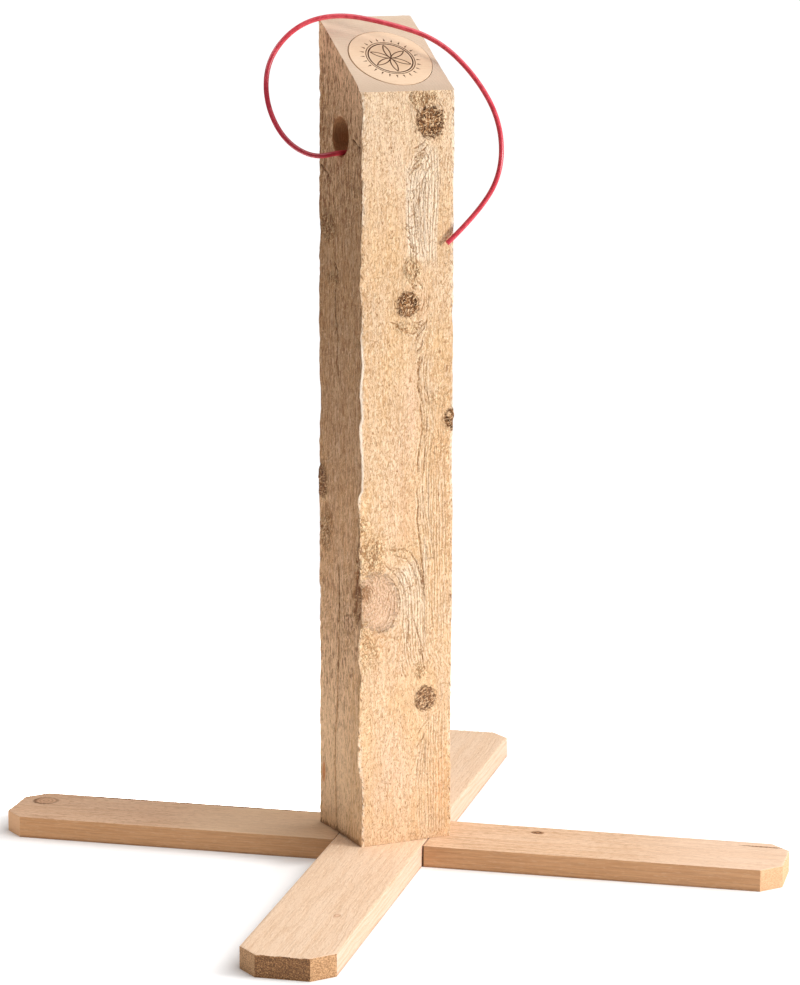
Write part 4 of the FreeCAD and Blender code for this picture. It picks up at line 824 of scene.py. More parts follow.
# extra points between each rectangle and the bore's round mouth
extra_S, extra_z, layers = [], [], 6
for side, hole in enumerate(holes):
    ang = hole["ang"]
    mouth = BORE_R + 0.5 + 0.9 * np.abs(np.sin(ang)) ** 3 + 0.35 * wrap_noise(ang * 63.66, ang * 0 + 5 * side, 9.0, 9.0, 50 + side, 2)
    hole["mouth"] = (hole["at"] + mouth * np.cos(ang), BORE_Z + mouth * np.sin(ang))
    hole["rings"] = [hole["ring"]]
    for k in range(1, layers + 1):
        f = 1 - (1 - k / layers) ** 1.25
        extra_S.append(hole["S"] * (1 - f) + hole["mouth"][0] * f)
        extra_z.append(hole["z"] * (1 - f) + hole["mouth"][1] * f)
        hole["rings"].append(np.arange(count, count + n_bore))
        count += n_bore

S_grid, T_grid = S_all[0], T_all[0]
S_extra, z_extra = np.concatenate(extra_S), np.concatenate(extra_z)
z_grid = height(S_grid, T_grid)
S_side = np.concatenate([S_grid, S_extra])
z_side = np.concatenate([z_grid, z_extra])
f = features(S_side, z_side)
pos, nrm = perimeter(S_side)
for hole in holes:
    d = np.hypot(around(S_side, hole["at"]), z_side - BORE_Z)
    f["h"] = f["h"] - 0.8 * bell(d - BORE_R, 2.2)
xy = pos + nrm * f["h"][:, None]
# the arrises wander sideways
wob1 = np.interp(z_side, [q[0] for q in ARRIS_LEFT], [q[1] for q in ARRIS_LEFT])
one = np.ones(z_side.shape)
for at, dx, dy in (
    (0.0, wob1 + 0.5 * wrap_noise(one, z_side, 40.0, 5.0, 32), 0.0),
    (100.0, 1.1 + 0.45 * wrap_noise(one, z_side, 40.0, 24.0, 33, 2), -0.3 + 0.4 * wrap_noise(one, z_side, 40.0, 21.0, 34)),
    (200.0, 0.5 + 1.0 * wrap_noise(one, z_side, 40.0, 19.0, 35, 2), 0.5 + 0.9 * wrap_noise(one, z_side, 40.0, 14.0, 36, 2)),
    (-100.0, -0.9 + 0.45 * wrap_noise(one, z_side, 40.0, 19.0, 37, 2), 0.9 + 0.5 * wrap_noise(one, z_side, 40.0, 9.0, 38, 2)),
):
    w = bell(around(S_side, at), 6.5)
    xy = xy + w[:, None] * np.column_stack([one * dx, one * dy])
t_side = np.concatenate([T_grid, (z_extra - Z_FOOT) / (z_top(pos[len(S_grid):, 1]) - Z_FOOT)])
foot = foot_gap(S_side) * np.clip(1 - (z_side - Z_FOOT) / 9.0, 0, 1)
z_new = Z_FOOT + foot + t_side * (z_top(xy[:, 1]) - Z_FOOT - foot)
verts = [np.column_stack([xy, z_new])]
shift = grain_shift(S_side, z_side)
gpos, _ = perimeter(S_side - shift)
side_attr = {k: v for k, v in f.items() if k != "h"}
side_attr["grain"] = np.column_stack([gpos, z_side])

# side faces
i, j = np.meshgrid(np.arange(NR), np.arange(NC), indexing="ij")
i, j = i[keep], j[keep]
quads = np.column_stack([grid[i, j], grid[i, (j + 1) % NC], grid[i + 1, (j + 1) % NC], grid[i + 1, j]])
faces.append(quads)
mats.append(np.zeros(len(quads), int))


def bridge(a, b, material, flip=False):
    """Quads between two rings of the same length."""
    a2, b2 = np.roll(a, -1), np.roll(b, -1)
    q = np.column_stack([a, a2, b2, b]) if not flip else np.column_stack([a, b, b2, a2])
    faces.append(q)
    mats.append(np.full(len(q), material, int))


for hole in holes:
    for a, b in zip(hole["rings"][:-1], hole["rings"][1:]):
        bridge(a, b, 0)

# the bore's wall, from the left mouth to the right one
left_end, right_end = holes[0]["rings"][-1], holes[1]["rings"][-1]
# anticlockwise seen from outside on both faces, so the right one runs the other way
side_xyz = verts[0]


def bore_angle(idx):
    v = side_xyz[idx]
    return np.arctan2(v[:, 2] - BORE_Z, v[:, 1] - BORE_Y)


order = right_end[::-1]
best = min(range(n_bore), key=lambda s: float(np.abs(np.angle(np.exp(1j * (bore_angle(np.roll(order, s)) - bore_angle(left_end))))).sum()))
right_end = np.roll(order, best)
rings = [left_end]
ang_l, ang_r = bore_angle(left_end), bore_angle(right_end)
turned = np.angle(np.exp(1j * (ang_r - ang_l)))
steps = 30
wall_attr = []
for k in range(1, steps):
    fr = k / steps
    x = X0 + 1.2 + (X1 - X0 - 2.4) * (fr - 1 / steps) / (1 - 2 / steps)
    a = ang_l + turned * fr
    # faint turns of the drill's lip, and a little wander
    r = BORE_R + 0.06 * np.sin(x * 2.6 + a) + 0.10 * lattice(a / (2 * math.pi) * 18, np.full(a.shape, x / 9.0), 18, 60)
    if k in (1, steps - 1):
        r = r + 0.15
    ring = np.column_stack([np.full(a.shape, x), BORE_Y + r * np.cos(a), BORE_Z + r * np.sin(a)])
    verts.append(ring)
    rings.append(np.arange(count, count + n_bore))
    count += n_bore
    wall_attr.append(ring)
rings.append(right_end)
for a, b in zip(rings[:-1], rings[1:]):
    bridge(a, b, 2, flip=True)

# the slanted top, from its edge in to the disc's round pocket
E_UP = np.array([0.0, math.cos(SLOPE), math.sin(SLOPE)])
E_N = np.array([0.0, -math.sin(SLOPE), math.cos(SLOPE)])
E_X = np.array([1.0, 0.0, 0.0])
MID = np.array([-3.5, 8.0, Z_FOOT + 795.35])
POCKET = MID + 1.0 * E_X - 8.0 * E_UP
loop = grid[NR]
edge_xyz = side_xyz[loop]
rel = edge_xyz - POCKET
ang = np.arctan2(rel @ E_UP, rel @ E_X)
pr = 43.3 + 0.07 * lattice(ang / (2 * math.pi) * 40, ang * 0 + 2, 40, 61)
rim = POCKET + np.outer(pr * np.cos(ang), E_X) + np.outer(pr * np.sin(ang), E_UP)
prev = loop
top_rings = 12
for k in range(1, top_rings + 1):
    fr = k / top_rings
    ring = edge_xyz * (1 - fr) + rim * fr
    u, v = (ring - MID) @ E_X, (ring - MID) @ E_UP
    sag = 0.12 * lattice(u / 18.0 + 40, v / 14.0 + 40, 1000, 62) + 0.05 * lattice(u / 5.0 + 60, v / 6.0 + 60, 1000, 63)
    fade = min(1.0, fr * 3) * min(1.0, (1 - fr) * 3 + 0.2)
    ring = ring + np.outer(sag * fade, E_N)
    verts.append(ring)
    new = np.arange(count, count + NC)
    count += NC
    bridge(prev, new, 1)
    prev = new
for depth, radius in ((0.3, 0.0), (3.9, 0.0), (3.9, -12.0), (3.9, -30.0)):
    ring = POCKET + np.outer((pr + radius) * np.cos(ang), E_X) + np.outer((pr + radius) * np.sin(ang), E_UP) - depth * E_N
    verts.append(ring)
    new = np.arange(count, count + NC)
    count += NC
    bridge(prev, new, 3)
    prev = new
verts.append((POCKET - 3.9 * E_N)[None])
faces_tri = [np.column_stack([prev, np.roll(prev, -1), np.full(NC, count)])]
tri_mats = [np.full(NC, 3, int)]
count += 1

# the sawn foot
loop = grid[0]
base = side_xyz[loop]
prev = loop
for fr in (0.06, 0.16, 0.4, 0.7):
    mid = np.array([-3.5, 8.0])
    ring = np.column_stack([base[:, :2] * (1 - fr) + mid * fr, np.full(NC, Z_FOOT + 0.02)])
    if fr < 0.1:
        ring[:, 2] = base[:, 2] * 0.55 + (Z_FOOT + 0.02) * 0.45
    verts.append(ring)
    new = np.arange(count, count + NC)
    count += NC
    bridge(prev, new, 1, flip=True)
    prev = new
verts.append(np.array([[-3.5, 8.0, Z_FOOT + 0.02]]))
faces_tri.append(np.column_stack([np.roll(prev, -1), prev, np.full(NC, count)]))
tri_mats.append(np.full(NC, 1, int))
count += 1

V = np.concatenate(verts)
Q = np.concatenate(faces)
QM = np.concatenate(mats)
T = np.concatenate(faces_tri)
TM = np.concatenate(tri_mats)
used = np.zeros(len(V), bool)
used[Q.ravel()] = True
used[T.ravel()] = True
new_index = np.cumsum(used) - 1
attrs = {}
for key, values in side_attr.items():
    whole = np.zeros((len(V), 3))
    whole[: len(values)] = values
    rest = slice(len(values), None)
    if key == "grain":
        whole[rest] = V[rest]
    elif key == "marks":
        whole[rest, 0] = -1.0
    elif key == "cracks":
        whole[rest] = (6.0, 0.0, 30.0)
    elif key == "strokes":
        whole[rest, 0] = 9.0
    elif key == "rim":
        whole[rest] = (200.0, 0.0, 0.0)
    attrs[key] = whole[used]
V = V[used]
Q, T = new_index[Q], new_index[T]


def make_mesh(name, points, quads, tris, quad_mats, tri_mats_, materials, sharp=40.0):
    """A mesh from arrays in millimetres."""
    mesh = bpy.data.meshes.new(name)
    nq, nt = len(quads), len(tris)
    mesh.vertices.add(len(points))
    mesh.vertices.foreach_set("co", (np.asarray(points, float) * MM).astype(np.float32).ravel())
    loops = np.concatenate([quads.ravel(), tris.ravel()]).astype(np.int32)
    mesh.loops.add(len(loops))
    mesh.loops.foreach_set("vertex_index", loops)
    mesh.polygons.add(nq + nt)
    starts = np.concatenate([np.arange(nq) * 4, nq * 4 + np.arange(nt) * 3]).astype(np.int32)
    mesh.polygons.foreach_set("loop_start", starts)
    mesh.update(calc_edges=True)
    mesh.validate()
    for m in materials:
        mesh.materials.append(m)
    mesh.polygons.foreach_set("material_index", np.concatenate([quad_mats, tri_mats_]).astype(np.int32))
    mesh.shade_smooth()
    mesh.set_sharp_from_angle(angle=math.radians(sharp))
    mesh.update()
    obj = bpy.data.objects.new(name, mesh)
    scene.collection.objects.link(obj)
    return obj


def store(mesh, name, values):
    a = mesh.attributes.new(name, "FLOAT_VECTOR", "POINT")
    a.data.foreach_set("vector", np.asarray(values, np.float32).ravel())


# ---------------------------------------------------- the post: rough timber

t = Tree("rough_sawn_timber")
g = t.attr("grain")
gx, gy, gz = t.split(g)
knot, torn, scoop = t.split(t.attr("marks"))
kx, kz, pale = t.split(t.attr("knot_place"))
line, drawn, even = t.split(t.attr("lines"))
crack, gape, edge = t.split(t.attr("cracks"))
pink, orange, frayed = t.split(t.attr("tint"))
stroke, inked, wear_and_shade_side = t.split(t.attr("strokes"))
rim_far, us, uz = t.split(t.attr("rim"))


def fibres(zs, scale, detail, rough, bend=0.0):
    # grain is in millimetres; zs squeezes it along the fibre
    return t.noise(t.join(gx, gy, t.mul(gz, zs)), scale, detail, rough, bend)


n_short = fibres(0.27, 0.72, 2.0, 0.60, 0.6)
n_tiny = fibres(0.42, 1.45, 1.0, 0.5, 0.3)
n_long = fibres(0.045, 0.80, 3.0, 0.6, 0.2)
n_band = fibres(0.03, 0.10, 3.0, 0.55, 0.4)
n_wide = fibres(0.16, 0.30, 3.0, 0.62, 0.8)
n_patch = fibres(0.35, 0.030, 2.0, 0.5)
n_patch2 = t.noise(t.vec("ADD", t.join(gx, gy, t.mul(gz, 0.4)), (211.0, 97.0, 41.0)), 0.045, 2.0, 0.5)
n_spot = t.noise(t.vec("ADD", t.join(gx, gy, t.mul(gz, 0.8)), (31.0, 57.0, 11.0)), 0.62, 2.0, 0.66, 0.4)



def dashes(degrees, seed, long_=0.19, short_=0.78, rough_=0.60):
    """Noise drawn out into short dashes that lean from the upright by so many degrees."""
    c, w = math.cos(math.radians(degrees)), math.sin(math.radians(degrees))
    along_ = t.add(t.mul(us, w * long_), t.mul(uz, c * long_))
    across_ = t.add(t.mul(us, c * short_), t.mul(uz, -w * short_))
    return t.noise(t.join(along_, across_, seed), 1.0, 2.0, rough_, 0.25)


d_a = dashes(22.0, 3.3, 0.15, 0.58)
d_b = dashes(-28.0, 17.7, 0.16, 0.60)
d_c = dashes(64.0, 41.1, 0.20, 0.56)
d_d = dashes(-4.0, 71.9, 0.13, 0.70)
d_e = dashes(8.0, 95.3, 0.24, 0.80)
d_f = dashes(-58.0, 123.0, 0.22, 0.56)
d_g = dashes(3.0, 151.0, 0.085, 0.27)
d_h = dashes(-6.0, 177.0, 0.100, 0.32)

# how rough each place is
rough = t.math("MULTIPLY_ADD", t.step(n_patch2, 0.34, 0.66), 0.50, 0.62)
rough = t.mul(rough, t.step(gz, 40.0, 260.0, 0.55, 1.0))
rough = t.math("SUBTRACT", rough, t.mul(even, 0.42), clamp=True)

# ---- colour of sound wood
base = t.blend(t.step(n_patch, 0.36, 0.64), (0.870, 0.620, 0.400), (0.855, 0.575, 0.325))
base = t.blend(t.mul(t.step(n_patch2, 0.50, 0.72), 0.65), base, (0.890, 0.665, 0.465))
base = t.blend(t.math("MULTIPLY", t.step(n_band, 0.50, 0.66), 0.50), base, (0.770, 0.490, 0.265))
base = t.blend(t.math("MULTIPLY", pink, 0.75, clamp=True), base, (0.870, 0.600, 0.440))
base = t.blend(t.math("MULTIPLY", orange, 0.60, clamp=True), base, (0.780, 0.450, 0.230))
cream = t.mul(t.step(t.add(uz, t.mul(t.sub(n_band, 0.5), 260.0)), 610.0, 770.0), t.sub(1.0, wear_and_shade_side))
base = t.blend(t.mul(cream, 0.60), base, (0.960, 0.760, 0.560))
banded = t.mul(t.step(n_band, 0.40, 0.60), wear_and_shade_side)
base = t.blend(t.mul(banded, 0.34), base, (0.600, 0.350, 0.185))
# fine fibres: dark flecks painted as the shade among torn fibres, and light fuzz
fibre_shade_fleck = t.mul(t.step(n_short, 0.505, 0.375), rough)
base = t.blend(t.math("MULTIPLY", fibre_shade_fleck, 0.62, clamp=True), base, (0.520, 0.275, 0.120))
fuzz = t.mul(t.step(n_short, 0.53, 0.66), rough)
base = t.blend(t.math("MULTIPLY", fuzz, 0.65, clamp=True), base, (0.960, 0.760, 0.550))
wide = t.mul(t.step(n_wide, 0.50, 0.37), t.math("MULTIPLY_ADD", wear_and_shade_side, 0.66, 0.16))
base = t.blend(t.math("MULTIPLY", wide, 1.0, clamp=True), base, (0.500, 0.285, 0.145))
wide2 = t.mul(t.step(n_wide, 0.54, 0.68), t.math("MULTIPLY_ADD", wear_and_shade_side, 0.60, 0.16))
base = t.blend(t.math("MULTIPLY", wide2, 1.0, clamp=True), base, (0.940, 0.730, 0.540))
streak = t.step(n_long, 0.48, 0.34)
base = t.blend(t.math("MULTIPLY", streak, t.math("MULTIPLY_ADD", wear_and_shade_side, 0.52, 0.30), clamp=True), base, (0.460, 0.245, 0.115))
streak2 = t.mul(t.step(n_long, 0.56, 0.68), wear_and_shade_side)
base = t.blend(t.math("MULTIPLY", streak2, 0.55, clamp=True), base, (0.960, 0.720, 0.500))
base = t.blend(t.mul(t.step(n_tiny, 0.44, 0.30), 0.45), base, (0.420, 0.230, 0.110))

# ---- lines of late wood
wob = t.mul(t.sub(fibres(0.16, 0.20, 3.0, 0.6), 0.5), 2.0)
lf = t.math("ABSOLUTE", t.sub(t.math("FRACT", t.add(t.add(line, wob), 0.5)), 0.5))
broken = t.step(fibres(0.12, 0.33, 2.0, 0.55), 0.36, 0.54)
ink = t.mul(t.mul(t.step(lf, 0.24, 0.07), drawn), t.math("MULTIPLY_ADD", broken, 0.80, 0.12))
base = t.blend(t.math("MULTIPLY", ink, 0.74, clamp=True), base, (0.400, 0.210, 0.088))
arch_ = t.mul(t.mul(t.step(uz, 345.0, 325.0), t.step(uz, 225.0, 315.0)), t.step(us, 76.0, 68.0))
pale_bed = t.mul(t.mul(drawn, t.math("MAXIMUM", t.step(uz, 585.0, 625.0), t.mul(arch_, 0.95))), t.sub(1.0, wear_and_shade_side))
base = t.blend(t.mul(t.mul(pale_bed, t.sub(1.0, ink)), 0.72), base, (0.990, 0.850, 0.680))
glow = t.mul(t.step(lf, 0.22, 0.40), drawn)
base = t.blend(t.mul(glow, 0.60), base, (0.975, 0.790, 0.590))
# single marks
jig = t.mul(t.sub(t.noise(t.join(t.mul(gx, 0.6), t.mul(gy, 0.6), t.mul(gz, 0.35)), 0.50, 2.0, 0.55), 0.5), 2.0)
sf = t.add(stroke, jig)
sa = t.math("ABSOLUTE", sf)
patchy = t.math("MULTIPLY_ADD", t.step(d_f, 0.58, 0.43), 0.70, 0.30)
weight = t.mul(t.step(inked, 0.08, 0.78), t.math("MULTIPLY_ADD", wear_and_shade_side, -0.25, 1.0))
mark = t.mul(t.mul(t.step(sa, 1.9, 0.3), weight), patchy)
core_ = t.mul(t.mul(t.step(sa, 0.9, 0.2), t.mul(weight, weight)), t.step(d_e, 0.56, 0.44))
halo = t.mul(t.mul(t.step(sf, 1.4, 2.4), t.step(sf, 5.0, 3.0)), weight)
halo2 = t.mul(t.mul(t.step(sf, -1.4, -2.4), t.step(sf, -4.5, -2.8)), weight)
base = t.blend(t.mul(halo, 0.50), base, (0.980, 0.810, 0.620))
base = t.blend(t.mul(halo2, 0.25), base, (0.970, 0.780, 0.580))
base = t.blend(t.math("MULTIPLY", mark, 0.70, clamp=True), base, (0.420, 0.205, 0.078))
base = t.blend(t.math("MULTIPLY", core_, 0.85, clamp=True), base, (0.220, 0.085, 0.028))

# ---- torn places: short dark tears, many or few, and the light chips between
t_amt = t.step(t.add(torn, t.mul(t.sub(n_wide, 0.5), 0.5)), 0.05, 0.85)
few = t.mul(rough, 0.026)


def tears(v, more, hard=0.06):
    return t.step(t.sub(v, t.add(t.mul(t_amt, more), few)), 0.362, 0.362 - hard)


def chips(v, more):
    return t.step(t.add(v, t.mul(t_amt, more)), 0.640, 0.690)


tear = t.math("MAXIMUM", t.math("MAXIMUM", tears(d_a, 0.092), tears(d_b, 0.086)), t.math("MAXIMUM", tears(d_d, 0.060), tears(d_c, 0.050)))
chip = t.math("MAXIMUM", t.math("MAXIMUM", chips(d_c, 0.090), chips(d_b, 0.100)), chips(d_e, 0.110))
base = t.blend(t.mul(t_amt, 0.42), base, (0.830, 0.480, 0.215))
base = t.blend(t.math("MULTIPLY", chip, 0.92, clamp=True), base, (0.985, 0.765, 0.485))
t_col = t.blend(t_amt, (0.450, 0.225, 0.080), (0.210, 0.080, 0.020))
base = t.blend(t.math("MULTIPLY", tear, t.math("MULTIPLY_ADD", t_amt, 0.36, 0.50), clamp=True), base, t_col)

# ---- knots
kr = t.math("SQRT", t.add(t.mul(kx, kx), t.mul(kz, kz)))
ka = t.math("ARCTAN2", kz, kx)
kvec = t.join(t.math("COSINE", ka), t.math("SINE", ka), t.mul(kr, 0.16))
rays = t.noise(kvec, 5.5, 3.0, 0.65)
k_edge = t.add(knot, t.mul(t.sub(t.noise(t.join(kx, kz, knot), 0.30, 4.0, 0.72), 0.5), 1.25))
k_in = t.step(k_edge, -0.03, 0.13)
k_rim = t.mul(t.step(k_edge, -0.26, 0.0), t.step(k_edge, 0.30, 0.08))
kring = t.math("SINE", t.add(t.mul(kr, 2.1), t.mul(t.sub(n_wide, 0.5), 22.0)))
k_dark = t.blend(t.step(n_spot, 0.42, 0.58), (0.220, 0.092, 0.034), (0.455, 0.225, 0.092))
k_blk = t.math("MAXIMUM", t.step(d_a, 0.465, 0.405), t.math("MAXIMUM", t.step(d_b, 0.455, 0.395), t.step(d_f, 0.440, 0.385)))
k_lit = t.math("MAXIMUM", t.step(d_c, 0.550, 0.600), t.step(d_e, 0.600, 0.650))
k_dark = t.blend(t.mul(k_blk, 0.97), k_dark, (0.052, 0.019, 0.007))
k_dark = t.blend(t.mul(k_lit, 0.86), k_dark, (0.950, 0.650, 0.390))
k_pale = t.blend(t.mul(t.step(kring, -0.1, 0.9), 0.48), (0.870, 0.590, 0.415), (0.580, 0.320, 0.160))
k_pt = t.math("MAXIMUM", t.step(d_a, 0.40, 0.33), t.math("MAXIMUM", t.step(d_f, 0.40, 0.33), t.step(d_d, 0.41, 0.34)))
k_pale = t.blend(t.mul(k_pt, t.step(kz, -16.0, 4.0, 0.35, 0.80)), k_pale, (0.340, 0.155, 0.062))
k_pl = t.math("MAXIMUM", t.step(d_c, 0.59, 0.66), t.step(d_b, 0.59, 0.66))
k_pale = t.blend(t.mul(k_pl, 0.65), k_pale, (0.970, 0.750, 0.540))
pit = t.math("SQRT", t.add(t.math("POWER", t.add(kx, 12.5), 2.0), t.mul(t.math("POWER", t.sub(kz, 13.0), 2.0), 0.42)))
ringlet = t.math("SINE", t.add(t.mul(pit, 2.05), t.mul(t.sub(n_wide, 0.5), 9.0)))
k_pale = t.blend(t.mul(t.mul(t.step(ringlet, 0.1, 0.9), t.step(pit, 3.0, 9.0)), 0.50), k_pale, (0.620, 0.350, 0.180))
k_pale = t.blend(t.mul(t.step(t.add(pit, t.mul(t.sub(d_b, 0.5), 26.0)), 8.0, 3.0), 0.80), k_pale, (0.300, 0.130, 0.050))
k_col = t.blend(pale, k_dark, k_pale)
k_amount = t.mul(k_in, t.math("MULTIPLY_ADD", pale, -0.25, 0.98))
base = t.blend(k_amount, base, k_col)
rimc = t.mul(k_rim, t.math("MULTIPLY_ADD", pale, -0.80, 0.80))
base = t.blend(t.math("MULTIPLY", t.mul(rimc, t.step(d_f, 0.56, 0.42)), 0.90, clamp=True), base, (0.220, 0.098, 0.040))

# ---- the hollow beside the big knot, cracks, frayed arrises
# The hollow is painted dark: partly the torn-out wood's own darker colour, partly painted shade in the hollow; the
# light chips are the wood's own.
sc = t.step(t.add(scoop, t.mul(t.sub(t.add(d_a, d_b), 1.0), 2.2)), 0.15, 0.75)
scol = t.blend(t.step(d_a, 0.44, 0.56), (0.130, 0.046, 0.016), (0.400, 0.190, 0.080))
scol = t.blend(t.mul(t.step(d_c, 0.56, 0.62), 0.80), scol, (0.780, 0.480, 0.260))
base = t.blend(t.mul(sc, 0.90), base, scol)
cw = t.math("ABSOLUTE", t.add(crack, t.mul(t.sub(n_short, 0.5), 1.2)))
cw = t.mul(cw, t.math("MULTIPLY_ADD", t.mul(wear_and_shade_side, t.step(uz, 345.0, 315.0)), -0.30, 1.0))
cw = t.step(cw, 1.0, 0.3)
cw = t.mul(cw, t.step(gape, 0.08, 0.5))
base = t.blend(t.mul(cw, t.math("MULTIPLY_ADD", wear_and_shade_side, -0.27, 0.95)), base, (0.085, 0.040, 0.018))
lip = t.mul(t.step(edge, 5.0, 0.8), t.step(t.add(n_short, t.mul(frayed, 0.25)), 0.48, 0.62))
off_knot = t.sub(1.0, k_in)
off_knot = t.mul(off_knot, t.math("MULTIPLY_ADD", t.mul(t.step(uz, 120.0, 155.0), t.step(uz, 372.0, 350.0)), -0.75, 1.0))
lip = t.mul(t.mul(t.mul(lip, off_knot), t.math("MULTIPLY_ADD", wear_and_shade_side, -1.0, 1.0)), t.step(d_e, 0.40, 0.56))
base = t.blend(t.mul(lip, t.step(frayed, 0.30, 0.65, 0.25, 0.85)), base, (0.990, 0.860, 0.700))
sound = t.mul(t.step(uz, 365.0, 390.0), t.step(uz, 560.0, 530.0))
lip2 = t.mul(t.mul(t.step(edge, 3.4, 1.6), sound), t.mul(t.sub(1.0, wear_and_shade_side), t.step(us, 30.0, 20.0)))
base = t.blend(t.mul(lip2, 0.80), base, (0.990, 0.870, 0.730))
chipped = t.mul(t.mul(t.step(uz, 120.0, 155.0), t.step(uz, 372.0, 350.0)), t.step(t.math("ABSOLUTE", us), 40.0, 30.0))
dusk = t.mul(t.mul(chipped, t.step(edge, 8.5, 2.5)), t.mul(wear_and_shade_side, t.step(t.add(d_d, t.mul(d_b, 0.6)), 0.90, 0.72)))
base = t.blend(t.math("MULTIPLY", dusk, 0.85, clamp=True), base, (0.270, 0.120, 0.052))
nickd = t.mul(t.mul(t.step(edge, 5.0, 1.0), t.step(d_b, 0.45, 0.37)), t.math("MULTIPLY_ADD", sound, -0.8, 1.0))
base = t.blend(t.mul(nickd, 0.80), base, (0.230, 0.105, 0.045))
# painted shade: the left face darker at mid height
painted_belt_shade = t.mul(t.mul(t.step(uz, 340.0, 450.0), t.step(uz, 820.0, 720.0)), wear_and_shade_side)
base = t.blend(t.mul(painted_belt_shade, 0.18), base, (0.200, 0.110, 0.065))
# painted light: the left face lighter towards the floor, standing in for light thrown up from the floor
painted_foot_light = t.mul(t.step(uz, 330.0, 60.0), wear_and_shade_side)
base = t.blend(t.mul(painted_foot_light, 0.84), base, (1.000, 0.760, 0.490))
# painted light: the left face lighter just below the slanted top
painted_crown_light = t.mul(t.step(t.add(rim_far, t.mul(t.sub(n_wide, 0.5), 60.0)), 75.0, 0.0), wear_and_shade_side)
base = t.blend(t.mul(painted_crown_light, 0.90), base, (0.990, 0.680, 0.455))
ends_ = t.math("MAXIMUM", t.step(uz, 620.0, 690.0), t.step(uz, 330.0, 230.0))
ends_ = t.mul(t.math("MULTIPLY_ADD", ends_, 0.60, 0.40), wear_and_shade_side)
cut_ = t.math("MAXIMUM", t.step(d_d, 0.445, 0.375), t.step(d_e, 0.425, 0.365))
cut_ = t.math("MAXIMUM", cut_, t.mul(t.step(d_a, 0.40, 0.34), 0.8))
cut_ = t.mul(cut_, t.step(uz, 60.0, 260.0, 0.62, 1.0))
base = t.blend(t.math("MULTIPLY", t.mul(cut_, ends_), 0.62, clamp=True), base, (0.330, 0.150, 0.068))
rise_ = t.mul(t.step(d_h, 0.540, 0.640), wear_and_shade_side)
base = t.blend(t.math("MULTIPLY", t.mul(rise_, ends_), 0.66, clamp=True), base, (0.980, 0.720, 0.480))
sunk_ = t.mul(t.math("MAXIMUM", t.step(d_g, 0.455, 0.375), t.mul(t.step(d_h, 0.430, 0.350), 0.8)), wear_and_shade_side)
sunk_ = t.mul(sunk_, t.step(uz, 60.0, 260.0, 0.40, 1.0))
base = t.blend(t.math("MULTIPLY", t.mul(sunk_, t.step(ends_, 0.3, 1.0, 0.46, 0.80)), 1.0, clamp=True), base, (0.250, 0.105, 0.050))
lift_ = t.math("MAXIMUM", t.step(d_c, 0.585, 0.650), t.step(n_long, 0.56, 0.66))
base = t.blend(t.math("MULTIPLY", t.mul(lift_, ends_), 0.42, clamp=True), base, (0.960, 0.730, 0.490))
amber = t.mul(t.mul(t.step(us, -44.0, -28.0), t.step(uz, 235.0, 190.0)), wear_and_shade_side)
amber = t.mul(amber, t.step(t.add(n_long, t.mul(n_band, 0.5)), 0.76, 0.66))
base = t.blend(t.mul(amber, 0.50), base, (0.640, 0.360, 0.140))
ember = t.step(t.add(orange, t.mul(t.sub(d_a, 0.5), 1.6)), 1.1, 1.9)
base = t.blend(t.mul(ember, 0.75), base, (0.830, 0.330, 0.130))
# painted shade: the left face, and the back at half strength, is made darker and redder, as wood looks in warm shade
base = t.blend(t.mul(wear_and_shade_side, 0.85), base, t.blend(1.0, base, (0.98, 0.885, 0.800), "MULTIPLY"))
# painted shade: a dark band along the foot of the left face, where the post stands on the boards
painted_contact_shade = t.mul(t.step(t.add(uz, t.mul(t.sub(d_a, 0.5), 16.0)), 29.0, 23.0), wear_and_shade_side)
base = t.blend(t.mul(painted_contact_shade, 0.60), base, (0.210, 0.090, 0.040))

# ---- relief of the fibres
fine = t.add(t.mul(n_short, 0.60), t.mul(n_long, 0.45))
fine = t.add(t.mul(fine, t.math("MULTIPLY_ADD", rough, 0.9, 0.25)), t.mul(n_tiny, 0.25))
fine = t.add(fine, t.mul(n_wide, 0.5))
wild = t.math("MAXIMUM", t_amt, k_in)
fine = t.add(fine, t.mul(t.mul(t.add(t.add(d_a, d_b), d_c), wild), 1.1))
fine = t.sub(fine, t.mul(tear, 0.35))
fine = t.add(fine, t.mul(chip, 0.20))
fine = t.sub(fine, t.mul(ink, 0.80))
fine = t.sub(fine, t.mul(mark, 0.70))
fine = t.add(fine, t.mul(t.add(halo, halo2), 0.22))
fine = t.sub(fine, t.mul(cw, 1.1))
t.set(Base_Color=base, Roughness=0.86, Specular_IOR_Level=0.22, Normal=t.bump(fine, 0.0013, 0.85))
m_rough = t.material

# ---- the slanted top: sanded end grain, pale
t = Tree("sawn_end_grain")
p = t.vec("SCALE", t.place(), scale=1000.0)
x, y, z = t.split(p)
# the rings' middle lies low on the left; distance from it along the slope
up_slope = t.math("MULTIPLY", t.sub(y, 8.0), 1.209)
dx, dy = t.add(x, 61.0), t.add(up_slope, 74.0)
rr = t.math("SQRT", t.add(t.mul(dx, dx), t.mul(dy, dy)))
warp = t.mul(t.sub(t.noise(p, 0.035, 3.0, 0.55), 0.5), 9.0)
ringn = t.math("SINE", t.mul(t.add(rr, warp), 2 * math.pi / 3.3))
soft = t.noise(p, 0.05, 3.0, 0.55)
pores = t.noise(p, 1.3, 2.0, 0.6)
col = t.blend(t.step(soft, 0.35, 0.65), (0.735, 0.575, 0.440), (0.700, 0.530, 0.400))
col = t.blend(t.mul(t.step(ringn, 0.2, 1.0), 0.26), col, (0.560, 0.395, 0.270))
col = t.blend(t.mul(t.step(t.noise(p, 0.022, 2.0, 0.5), 0.52, 0.70), 0.40), col, (0.640, 0.500, 0.400))
col = t.blend(t.mul(t.step(pores, 0.46, 0.34), 0.30), col, (0.470, 0.320, 0.215))
